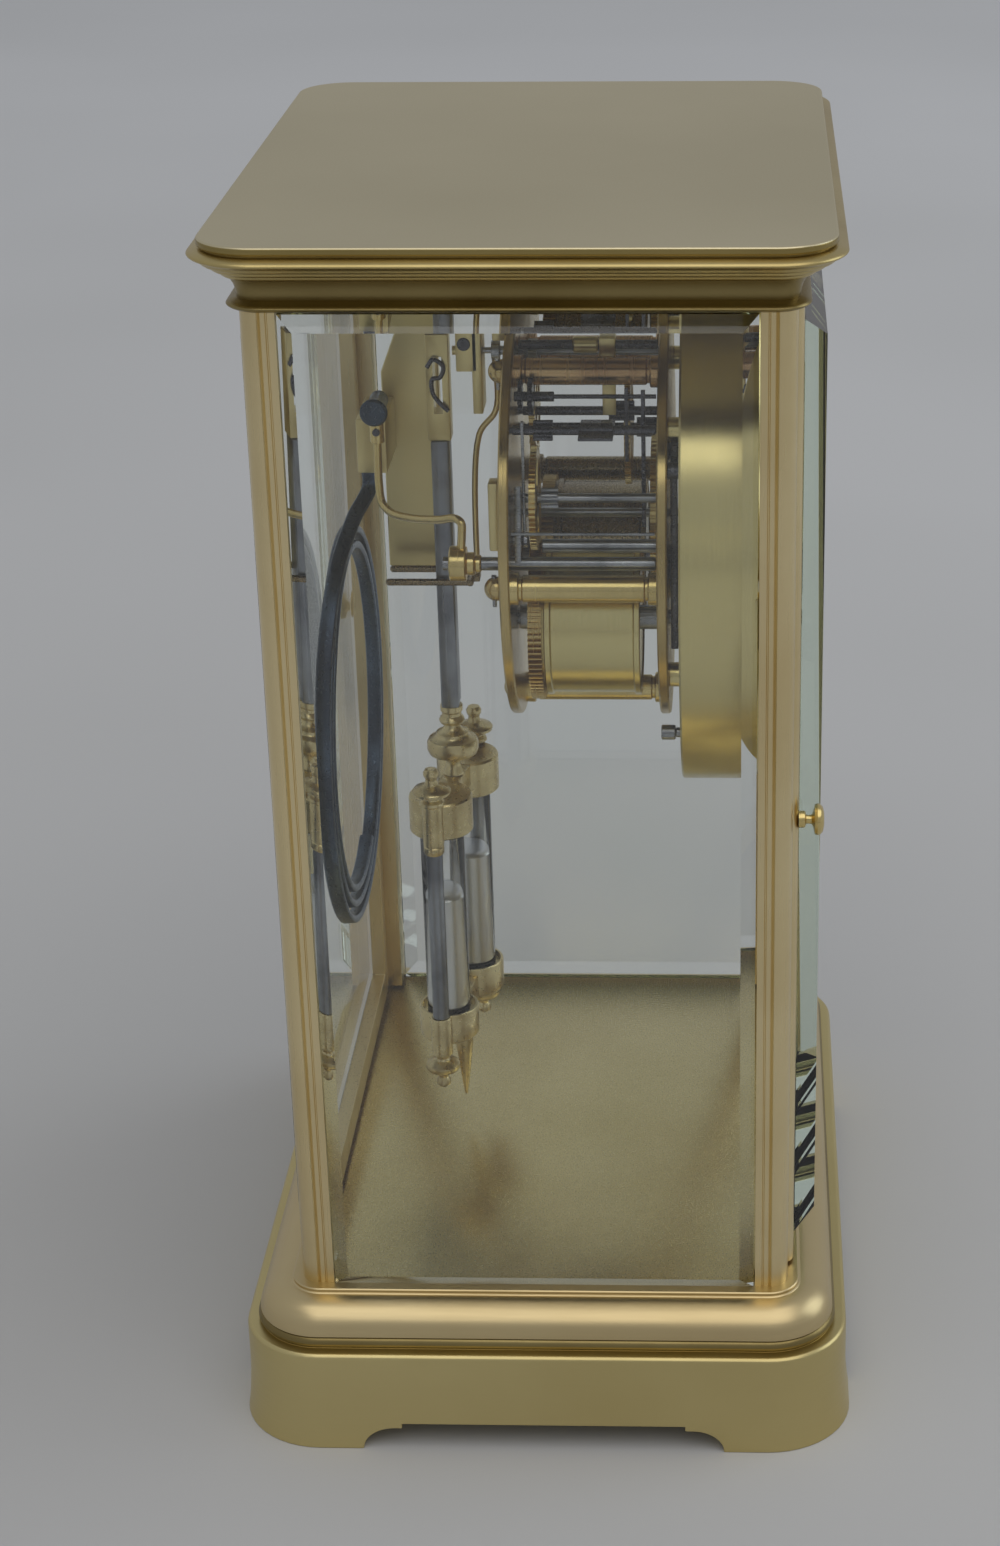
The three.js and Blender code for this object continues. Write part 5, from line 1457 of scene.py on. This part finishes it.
@dataclass
class Escapement:
    """Anchor, crutch and back cock."""

    shop: Workshop
    wire_y: float = 9.8
    fork_y: float = 15.7
    fork_z: float = 155.6
    fork_half_gap: float = 3.9
    hang_z: float = 214.0

    def build(self) -> None:
        """Builds the escapement behind and between the plates."""
        self.shop.dress("anchor", Palette.STEEL)
        self.crutch()
        self.cock()

    def crutch(self) -> None:
        """Makes the crutch: its staff, its bent wire and the fork round the pendulum's rod."""
        front = PLAN.front_shoulder
        staff = spindle(
            (0.6, PLAN.front_pivot, front), (0.9, front, 3.0), (1.8, 3.0, 3.9), (0.9, 3.9, 8.7),
            (1.9, 8.7, 10.3), (0.6, 10.3, 13.3), ease=0.08,
        )
        stock = Stock().turned(staff, (0, 0, PLAN.staff_z), Axis.Y, 20)
        self.shop.piece("crutch_staff", stock, Palette.STEEL, Body.CRUTCH)
        route = [(0, self.wire_y, PLAN.staff_z), (0, self.wire_y, 190.3), (0, 13.3, 185.1)]
        route += [(0, 14.6, 157.4), (0, 14.6, self.fork_z)]
        wire = Stock().rod(smooth(route, 10), 0.6)
        self.shop.piece("crutch_wire", wire, Palette.WORK, Body.CRUTCH, ["crutch"])
        y, z = self.fork_y, self.fork_z
        fork = Stock().turned(spindle((0.7, -4.6, 4.6)), (0, y, z), Axis.X, 16)
        fork.block((-1.8, 14.0, 154.9), (1.8, 16.6, 156.3), 0.15)
        prong = [(0, y), (0.7, y), (0.7, 32.2), (0.4, 32.6), (0, 32.7)]
        for x in (-self.fork_half_gap, self.fork_half_gap):
            fork.turned(prong, (x, 0, z), Axis.Y, 16)
        self.shop.piece("crutch_fork", fork, Palette.SHADED, Body.CRUTCH)

    def cock(self) -> None:
        """Makes the cock that carries the suspension and the crutch staff, and its screws."""
        back = PLAN.rear_face
        foot = 9.4
        stock = Stock().block((-9, back, 206.5), (9, foot, 219), 0.3)
        arm = Stock().block((-5, back, 210), (5, 25.4, 218), 0.3)
        arm.cut(Stock().block((-6, 18.8, 209), (6, 23, 216.3), 0))
        plate = Stock().block((-4, 12, 190.5), (4, 13.9, 211), 0.2)
        plate.block((-4, 12.9, 199), (4, 17, 211), 0.2)
        plate.cut(Stock().turned(spindle((0.9, 11, 18), ease=0), (0, 0, PLAN.staff_z), Axis.Y, 20))
        arm.cut(Stock().turned(spindle((0.9, 16, 27), ease=0), (0, 0, self.hang_z), Axis.Y, 20))
        self.shop.piece("cock_filed", stock.join(arm, plate), Palette.FLAT, stands_for=["back_cock"])
        head = [(0, foot), (1.7, foot), (1.7, 10.4), (1.4, 10.7), (0, 10.8)]
        screws = Stock()
        for x in (-7, 7):
            screws.turned(head, (x, 0, 212.7), Axis.Y, 24)
        self.shop.piece("cock_screws", screws, Palette.STEEL)


@dataclass
class Pendulum:
    """Suspension, clip, rod, vase nut and the bob with its two vials."""

    shop: Workshop
    axis_y: float = 20.9
    twist: float = -10.0
    hang_z: float = 214.0
    clip: Pair = (184.5, 206.0)
    nut: Pair = (112.3, 127.7)
    rod_x: float = 16.8
    vial_x: float = 10.6
    bar_half_y: float = 2.2
    cup_floor: float = 62.6
    rod: Pair = (63.8, 101.6)

    def build(self) -> None:
        """Builds the pendulum at rest."""
        self.top()
        self.bars()
        self.vials()

    def add(
        self, name: str, stock: Stock, coat: Coat, nodes: Sequence[str] = (), bob: bool = False
    ) -> None:
        """Adds one piece drawn about the pendulum's own axis.

        Args:
            name: Its name.
            stock: Its solid.
            coat: Its finish.
            nodes: The CAD nodes that it replaces.
            bob: Whether it is part of the bob, which stands twisted on the rod.
        """
        place = Matrix.Translation((0, self.axis_y, 0))
        if bob:
            place = place @ Matrix.Rotation(math.radians(self.twist), 4, "Z")
        self.shop.piece(name, stock.moved(place), coat, Body.PENDULUM, nodes, sharp=36)

    def top(self) -> None:
        """Makes the suspension spring, the hooked clip, the steel rod and the turned nut."""
        (clip_low, clip_top), (nut_low, nut_top), hang = self.clip, self.nut, self.hang_z
        spring = Stock().block((-0.25, -1.75, clip_top), (0.25, 1.75, hang), 0.05)
        spring.turned(spindle((1.6, -1.75, 1.75)), (0, 0, hang), Axis.Y, 24)
        spring.turned(spindle((0.6, -3.5, 3.5)), (0, 0, hang), Axis.Y, 16)
        self.add("suspension_steel", spring, Palette.STEEL, ["suspension_spring"])
        clip = Stock().block((-2.3, -2.25, clip_low), (2.3, 2.25, clip_top), 0.2)
        clip.cut(Stock().block((-4, -0.9, 190), (4, 0.9, 201.5), 0))
        self.add("clip_brass", clip, Palette.FLAT, ["pendulum_clip"])
        hook = [(-3.0, 1.9, 199.6), (-3.1, 0.6, 201.2), (-3.1, -1.3, 199.8), (-3.0, -0.6, 197.6)]
        hook += [(-2.9, 0.9, 197.2), (-3.0, 0.9, 194.4), (-3.0, -0.6, 192.2), (-3.0, -2.0, 190.8)]
        self.add("clip_hook", Stock().rod(smooth(hook, 6), 0.45, 10), Palette.DARK)
        rod = Stock().block((-2.8, -1.8, nut_top), (2.8, 1.8, clip_low), 0.45)
        self.add("rod_steel", rod, Palette.ROD, ["pendulum_rod"])
        nut = [(0, nut_low), (2.2, nut_low), (2.1, 112.9), (1.6, 113.9), (1.5, 114.8), (2.0, 115.8)]
        nut += [(3.4, 116.5), (4.9, 117.0), (5.3, 117.9), (5.3, 119.4), (4.9, 120.2), (3.8, 120.6)]
        nut += [(3.4, 121.0), (3.3, 121.6), (2.2, 122.1), (1.7, 122.8), (1.6, 123.4), (2.4, 123.7)]
        nut += [(2.65, 124.3), (2.4, 124.9), (2.0, 125.3), (2.0, 126.0), (2.3, 126.4), (2.3, 127.5)]
        nut += [(2.1, nut_top), (0, nut_top)]
        self.add("nut_turned", Stock().turned(nut, steps=48), Palette.AGED, ["vase_nut"])

    def bars(self) -> None:
        """Makes the top and bottom bars with their cups, collars and finials, and the pointer."""
        half, (rod_low, rod_top), floor = self.bar_half_y, self.rod, self.cup_floor
        cap = [(0, 107.4), (4.6, 107.4), (4.6, 104.5), (4.7, 104.4), (6.2, 104.4), (6.5, 104.7)]
        cap += [(6.5, 111.9), (6.2, 112.3), (0, 112.3)]
        collar = [(0, rod_top), (1.9, rod_top), (2.1, 101.9), (2.1, 103.2), (1.95, 103.4), (1.95, 103.6)]
        collar += [(2.15, 103.8), (2.15, 112.3), (2.6, 112.7), (2.5, 113.3), (1.9, 113.8), (1.9, 114.2)]
        collar += [(2.9, 114.6), (3.8, 115.1), (3.9, 115.7), (3.6, 116.1), (2.5, 116.5), (1.5, 116.9)]
        collar += [(1.2, 117.6), (1.2, 118.3), (1.55, 118.9), (1.6, 119.6), (1.2, 120.3), (0, 120.5)]
        cup = [(0, 57.1), (5.8, 57.1), (6.2, 57.6), (6.2, 63.5), (6.0, 63.8), (5.6, 63.8), (5.5, 63.6)]
        cup += [(5.5, floor), (0, floor)]
        foot = [(0, 47.3), (0.8, 47.4), (1.5, 48.1), (1.5, 49.0), (1.0, 49.7), (1.1, 50.3), (2.2, 50.9)]
        foot += [(3.3, 51.6), (3.6, 52.2), (3.5, 52.9), (2.7, 53.4), (1.6, 53.8), (1.4, 54.3)]
        foot += [(1.6, 54.8), (2.2, 55.3), (2.2, 63.5), (2.0, rod_low), (0, rod_low)]
        point = [(0, 35.9), (0.3, 36.0), (1.0, 41.0), (1.9, 49.0), (1.6, 50.2), (1.5, 51.0), (2.0, 52.2)]
        point += [(2.2, 53.4), (1.7, 54.3), (2.2, 55.4), (2.2, 58), (0, 58)]
        top = Stock().block((-self.rod_x, -half, 107.4), (self.rod_x, half, 112.2), 0.3)
        low = Stock().block((-self.rod_x, -half, 57.2), (self.rod_x, half, 62.5), 0.3)
        for side in (-1, 1):
            vial, rod = (self.vial_x * side, 0, 0), (self.rod_x * side, 0, 0)
            top.turned(cap, vial, steps=64).turned(collar, rod, steps=40)
            low.turned(cup, vial, steps=64).turned(foot, rod, steps=40)
        self.add("bar_top", top, Palette.AGED, ["bob_top_bar"], bob=True)
        low.turned(point, steps=32)
        self.add("bar_bottom", low, Palette.AGED, ["bob_bottom_bar"], bob=True)

    def vials(self) -> None:
        """Makes the glass vials with their mercury, and the rods outside them."""
        floor = self.cup_floor
        pin = spindle((1.7, *self.rod))
        glass = [(0, floor), (4.2, floor), (4.5, 62.9), (4.5, 107.2), (4.45, 107.3), (4.35, 107.2)]
        glass += [(4.35, 64.4), (3.8, 63.9), (0, 63.8)]
        fill = [(0, 63.85), (3.7, 63.95), (4.25, 64.5), (4.25, 89.4), (3.7, 89.85), (2.6, 90.0), (0, 90.0)]
        for hand, side in (("left", -1), ("right", 1)):
            for name, node, profile, x, steps, coat in (
                ("rod", "bob_rod", pin, self.rod_x, 28, Palette.ROD),
                ("tube", "vial", glass, self.vial_x, 48, Palette.VIAL),
                ("quicksilver", "mercury", fill, self.vial_x, 48, Palette.MERCURY),
            ):
                stock = Stock().turned(profile, (x * side, 0, 0), steps=steps)
                self.add(f"{name}_{hand}", stock, coat, [f"{node}_{hand}"], bob=True)


# Strike


@dataclass
class Strike:
    """Hammer, gong and the bracket that holds it."""

    shop: Workshop
    coil_at: Triple = (0.0, 41.5, 124.0)
    coil_radius: float = 41.6
    coil_pitch: float = 3.2
    coil_turn: tuple[int, int] = (180, 1010)
    ferrule_x: float = -13.0
    head_z: float = 194.6

    def build(self) -> None:
        """Builds the hammer and gong."""
        self.hammer()
        self.gong()

    def hammer(self) -> None:
        """Makes the arbor with hub and tail, the bent stem and the flared head."""
        at = (PLAN.hammer[0], 0, PLAN.hammer[1])
        front = PLAN.front_shoulder
        body = spindle((0.6, PLAN.front_pivot, front), (1.3, front, 10.6), ease=0.1)
        staff = Stock().turned(body, at, Axis.Y, 20)
        staff.turned(spindle((1.3, 16.6, 18.0)), at, Axis.Y, 20)
        lean = math.atan2(14, 4)
        turn = Axis.Y.place(at) @ Matrix.Rotation(lean, 4, "Z")
        staff.block((0, -1.3, 3), (14.5, 1.3, 4.2), 0.15, turn)
        self.shop.piece("hammer_staff", staff, Palette.STEEL, Body.HAMMER, ["hammer_arbor"])
        hub = spindle((1.7, 10.6, 11.8), (2.2, 11.8, 13.4), (3.4, 13.4, 16.6), ease=0.25)
        route = [
            (-33.2, 14.4, 172.5), (-33.4, 14.1, 176), (-33.6, 14.1, 178.2), (-32.4, 15.2, 178.7),
            (-28, 19, 177), (-21, 25, 174.9), (-15.6, 29.6, 174.3), (-13.2, 31.5, 175.6),
            (-12.8, 31.9, 179), (self.ferrule_x, PLAN.head_y, 188.6),
        ]
        stem = Stock().rod(smooth(route, 8), 0.8)
        stem.turned(hub, at, Axis.Y, 36)
        self.shop.piece("hammer_wire", stem, Palette.WORK, Body.HAMMER, ["hammer_stem"])
        base = Stock().turned(spindle((1.4, 187.6, 193.6)), (self.ferrule_x, PLAN.head_y, 0), steps=24)
        self.shop.piece("hammer_ferrule", base, Palette.WORK, Body.HAMMER)
        head = [(0, -17.2), (2.3, -17.2), (2.7, -16.8), (2.4, -14.9), (1.8, -12.4), (1.8, -7.7)]
        head += [(1.5, -7.3), (0, -7.3)]
        weight = Stock().turned(head, (0, PLAN.head_y, self.head_z), Axis.X, 32)
        self.shop.piece("hammer_weight", weight, Palette.BLUED, Body.HAMMER, ["hammer_head"])

    def gong(self) -> None:
        """Makes the coil with its lead, its block and the bracket under the cornice."""
        x, y, z = self.coil_at
        first, last = self.coil_turn
        lead = [
            (-3.4, 35, 179), (-3.4, 35, 175.6), (-12, 37.4, 171.6), (-25, 39.7, 164.4), (-35, 41, 152.4),
            (-40.3, 41.4, 138), (x - self.coil_radius, y, z),
        ]
        path = smooth(lead, 8)[:-1]
        for degrees in range(first, last + 1, 5):
            angle = math.radians(degrees)
            radius = self.coil_radius - self.coil_pitch * (degrees - first) / 360
            path.append(Vector((x + radius * math.cos(angle), y, z + radius * math.sin(angle))))
        section = [(-1.5, -0.3), (-1.25, -0.7), (-0.9, -0.8), (0.9, -0.8), (1.25, -0.7), (1.5, -0.3)]
        section += [(-u, -v) for u, v in section]
        coil = Stock().wire(path, section)
        self.shop.piece("gong_coil", coil, Palette.BLUED, stands_for=["gong"], sharp=40)
        block = Stock().block((-6, 31, 179), (10, 36.9, 190), 0.4)
        self.shop.piece("gong_holder", block, Palette.FLAT, stands_for=["gong_block"])
        outline = [(22, 154), (33.5, 154), (33.5, 195), (27, 212), (27, 238.1), (22, 238.1)]
        arm = Stock().prism(outline, 10, 13, Axis.X)
        self.shop.piece("bracket_plate", arm, Palette.FLAT, stands_for=["gong_bracket"], ease=0.3)


@dataclass
class Strikework:
    """Fixed arbors, levers and small fittings between and outside the plates."""

    shop: Workshop
    lift_at: Pair = (-20.0, 198.8)
    detent_at: Pair = (-6.0, 205.0)
    rack_teeth: int = 9
    rack_pitch: float = 1.35
    motion_at: Pair = (-9.5, 160.5)

    def build(self) -> None:
        """Builds the small fittings."""
        self.arbors()
        self.levers()
        self.fittings()

    def arbors(self) -> None:
        """Makes a dark arbor with two small wheels, one with a brass detent, and a thick bright one."""
        front, rear = PLAN.front_shoulder, PLAN.rear_shoulder
        lift = (self.lift_at[0], 0, self.lift_at[1])
        detent = (self.detent_at[0], 0, self.detent_at[1])
        lengths = spindle((0.42, front, -3.0), (0.95, -3.0, rear), ease=0.08)
        dark = Stock().turned(lengths, lift, Axis.Y, 16)
        dark.gear(self.lift_at, 14, (3.6, 2.7, 0.5), 1.0, 1.9)
        dark.gear(self.lift_at, 10, (3.0, 2.3, 0.5), 3.0, 3.8)
        dark.turned(spindle((0.9, front, rear)), detent, Axis.Y, 16)
        self.shop.piece("arbors_dark", dark, Palette.DARK)
        bright = Stock().turned(spindle((1.3, -22.7, -0.6), ease=0.2), (-28.2, 0, 171.9), Axis.Y, 24)
        bright.turned(spindle((0.3, front, rear), ease=0.05), (-36.2, 0, 177.0), Axis.Y, 8)
        self.shop.piece("arbor_bright", bright, Palette.STEEL)
        brass = Stock().turned(spindle((1.6, -10.8, -5.9), ease=0.3), detent, Axis.Y, 28)
        brass.block((-7.9, -14.2, 203.2), (-4.1, -11.0, 206.8), 0.3)
        brass.block((-6.9, -14.1, 191.2), (-6.2, -11.5, 204.0), 0.1)
        self.shop.piece("detent_brass", brass, Palette.FLAT)

    def levers(self) -> None:
        """Makes flat steel levers on the arbors inside, and the steelwork on the front plate."""
        light = Stock().block((-29.15, 2.3, 173.5), (-28.05, 2.85, 196.5), 0.12)
        light.turned(spindle((1.5, 1.9, 2.9), (1.0, 2.9, 5.0), ease=0.2), (-28.6, 0, 173.2), Axis.Y, 24)
        self.shop.piece("lever_light", light, Palette.STEEL)
        dark = Stock().block((-20.3, -17.0, 186), (-19.7, -16.3, 200.5), 0.1)
        dark.block((-20.5, -20.2, 173), (-19.5, -19.4, 200), 0.1)
        for i in range(self.rack_teeth):
            up = self.rack_pitch * i
            dark.block((-21.2, -20.15, 176 + up), (-20.4, -19.45, 176.7 + up), 0.08)
        dark.block((-31.2, -26.5, 152), (-29.4, -25.1, 188.8), 0.2)
        dark.block((-30.5, -26.4, 186), (-12, -25.1, 189), 0.2)
        dark.block((-30.5, -26.4, 164), (-21, -25.0, 167), 0.2)
        for x, z, radius in ((-14, 187.5, 3.0), (-22, 165.5, 2.4), (-30.3, 187.5, 1.6)):
            dark.turned(spindle((radius, -26.8, -24.6)), (x, 0, z), Axis.Y, 24)
        self.shop.piece("levers_dark", dark, Palette.DARK)
        wheel = Stock().wheel(self.motion_at, 36, 9.0, -26.6, -25.7)
        wheel.turned(spindle((0.9, -26.9, -24.6)), (self.motion_at[0], 0, self.motion_at[1]), Axis.Y, 16)
        self.shop.piece("motion_wheel", wheel, Palette.WORK)

    def fittings(self) -> None:
        """Makes the stud behind the drum, the strip on the rear plate and two dark screws."""
        lengths = spindle((1.0, -27.2, -25.6), (1.5, -25.6, -22.8), ease=0.2)
        stud = Stock().turned(lengths, (-20, 0, 130), Axis.Y, 24)
        self.shop.piece("drum_stud", stud, Palette.STEEL)
        strip = Stock().block((-35.4, PLAN.rear_face, 173.2), (-31.6, 8.8, 186.6), 0.4)
        self.shop.piece("rear_strip", strip, Palette.FLAT)
        screw = Stock().turned(spindle((1.3, -4.3, -3.9), ease=0.12), (0, 15.4, 204.5), Axis.X, 24)
        self.shop.piece("cock_screw_dark", screw, Palette.DARK)
        small = Stock().turned(spindle((0.75, -14.8, -14.0), ease=0.1), (0, PLAN.head_y, 190.0), Axis.X, 20)
        self.shop.piece("ferrule_screw", small, Palette.DARK, Body.HAMMER)


# Studio


@dataclass(frozen=True)
class Viewpoint:
    """Where the photograph was taken from, in metres and degrees."""

    location: Triple = (-0.5556, -0.0386, 0.3572)
    yaw: float = 1.95
    pitch: float = 23.84
    roll: float = -0.57
    lens: float = 68.19
    shift_x: float = -0.097

    def build(self) -> None:
        """Makes the scene's camera."""
        data = bpy.data.cameras.new("camera")
        data.sensor_fit = "VERTICAL"
        data.sensor_width = 36.0
        data.sensor_height = 36.0
        data.lens = self.lens
        data.shift_x = self.shift_x
        data.clip_start = 0.01
        data.clip_end = 100.0
        yaw, pitch, roll = (math.radians(a) for a in (self.yaw, self.pitch, self.roll))
        ahead = Vector((math.cos(yaw), math.sin(yaw), 0))
        right = Vector((math.sin(yaw), -math.cos(yaw), 0))
        level = Vector((0, 0, 1))
        forward = math.cos(pitch) * ahead - math.sin(pitch) * level
        up = math.sin(pitch) * ahead + math.cos(pitch) * level
        across = math.cos(roll) * right + math.sin(roll) * up
        above = math.cos(roll) * up - math.sin(roll) * right
        turn = Matrix((across, above, -forward)).transposed().to_4x4()
        camera = bpy.data.objects.new("camera", data)
        camera.matrix_world = Matrix.Translation(self.location) @ turn
        bpy.context.scene.collection.objects.link(camera)
        bpy.context.scene.camera = camera


@dataclass(frozen=True)
class Lamp:
    """One soft square light."""

    name: str
    location: Triple
    size: float
    power: float
    colour: Colour
    aim: Triple = (0, 0, 0.12)

    def build(self) -> None:
        """Makes the light and points it at the clock."""
        data = bpy.data.lights.new(self.name, "AREA")
        data.shape = "SQUARE"
        data.size = self.size
        data.energy = self.power
        data.color = self.colour
        lamp = bpy.data.objects.new(self.name, data)
        way = Vector(self.aim) - Vector(self.location)
        turn = way.to_track_quat("-Z", "Y").to_matrix().to_4x4()
        lamp.matrix_world = Matrix.Translation(self.location) @ turn
        bpy.context.scene.collection.objects.link(lamp)


class Studio:
    """Pale floor, pale surroundings, soft light and the camera."""

    LAMPS = (
        Lamp("ceiling", (-0.75, -0.25, 2.0), 2.2, 14.0, (1.0, 0.97, 0.93)),
        Lamp("window", (0.5, -1.9, 1.1), 1.4, 7.0, (0.86, 0.94, 1.0)),
    )
    ROOM: Colour = (0.36, 0.37, 0.385)
    HORIZON: Colour = (0.33, 0.33, 0.335)
    FLOOR_HALF = 6.0
    # Span along X, in metres, over which the floor's painted light runs from the darker front to the paler
    # back
    PAINTED_LIGHT_SPAN: Pair = (0.1, 1.3)

    def build(self) -> None:
        """Builds the studio round the clock."""
        self.world()
        self.floor()
        for lamp in self.LAMPS:
            lamp.build()
        Viewpoint().build()
        bpy.context.scene.view_settings.view_transform = "Standard"
        self.light_paths()

    def light_paths(self) -> None:
        """Lets light cross a pane lengthways without going black."""
        cycles = bpy.context.scene.cycles
        cycles.max_bounces = 28
        cycles.glossy_bounces = 20
        cycles.transmission_bounces = 24

    def world(self) -> None:
        """Makes soft grey surroundings, a little darker below and at the horizon."""
        world = bpy.data.worlds.new("surroundings")
        bpy.context.scene.world = world
        world.use_nodes = True
        tree = world.node_tree
        coords = tree.nodes.new("ShaderNodeTexCoord")
        split = tree.nodes.new("ShaderNodeSeparateXYZ")
        ramp = tree.nodes.new("ShaderNodeValToRGB")
        for element, place, tone in zip(ramp.color_ramp.elements, (0.0, 0.5), (self.HORIZON, self.ROOM)):
            element.position = place
            element.color = (*tone, 1)
        tree.links.new(coords.outputs["Generated"], split.inputs["Vector"])
        tree.links.new(split.outputs["Z"], ramp.inputs["Fac"])
        tree.links.new(ramp.outputs["Color"], tree.nodes["Background"].inputs["Color"])

    def floor(self) -> None:
        """Makes a wide pale floor with painted light: it grows paler towards the right, standing in for more
        light falling on the far floor.
        """
        part = bmesh.new()
        bmesh.ops.create_grid(part, x_segments=1, y_segments=1, size=self.FLOOR_HALF)
        mesh = bpy.data.meshes.new("floor")
        part.to_mesh(mesh)
        part.free()
        shade = Shade("floor_pale_painted_light")
        drift = shade.noise(2.5, detail=2.0)
        # Painted light: a darker front colour and a paler back colour, blended along X, stand in for more
        # light on the far floor
        near = shade.blend(drift, [(0.3, (0.54, 0.54, 0.54)), (0.7, (0.585, 0.585, 0.59))])
        far = shade.blend(drift, [(0.3, (0.66, 0.665, 0.675)), (0.7, (0.71, 0.715, 0.73))])
        split = shade.tree.nodes.new("ShaderNodeSeparateXYZ")
        reach = shade.tree.nodes.new("ShaderNodeMapRange")
        reach.inputs["From Min"].default_value = self.PAINTED_LIGHT_SPAN[0]
        reach.inputs["From Max"].default_value = self.PAINTED_LIGHT_SPAN[1]
        pale = shade.tree.nodes.new("ShaderNodeMix")
        pale.data_type = "RGBA"
        shade.link(shade.coords, split.inputs["Vector"])
        shade.link(split.outputs["X"], reach.inputs["Value"])
        shade.link(reach.outputs["Result"], pale.inputs["Factor"])
        shade.link(near, pale.inputs["A"])
        shade.link(far, pale.inputs["B"])
        shade.link(pale.outputs["Result"], shade.shader.inputs["Base Color"])
        shade.shader.inputs["Roughness"].default_value = 0.9
        mesh.materials.append(shade.material)
        obj = bpy.data.objects.new("floor", mesh)
        bpy.context.scene.collection.objects.link(obj)
        obj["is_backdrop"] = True


def corners(box: tuple[Vector, Vector]) -> list[list[float]]:
    """Returns a box as plain lists of numbers."""
    return [list(corner) for corner in box]


def main() -> None:
    """Builds the whole scene."""
    logging.basicConfig(level=logging.INFO, format="%(name)s: %(message)s")
    shop = Workshop(Palette())
    Studio().build()
    half_turn = Matrix.Rotation(math.pi, 4, "Z")
    assemblies = [
        Case(shop),
        Door(shop, "front", Body.FRONT_DOOR, Matrix(), (47.6, 49.6, 53.6)),
        Door(shop, "rear", Body.REAR_DOOR, half_turn, (47.6, 49.0, 50.6)),
        Movement(shop),
        Face(shop),
        Escapement(shop),
        Pendulum(shop),
        Strike(shop),
        Strikework(shop),
    ]
    for assembly in assemblies:
        assembly.build()
        LOG.info("built %s", type(assembly).__name__)
    sizes = {"cad": corners(CAD_BOX), "visual": corners(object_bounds())}


if __name__ == "__main__":
    main()
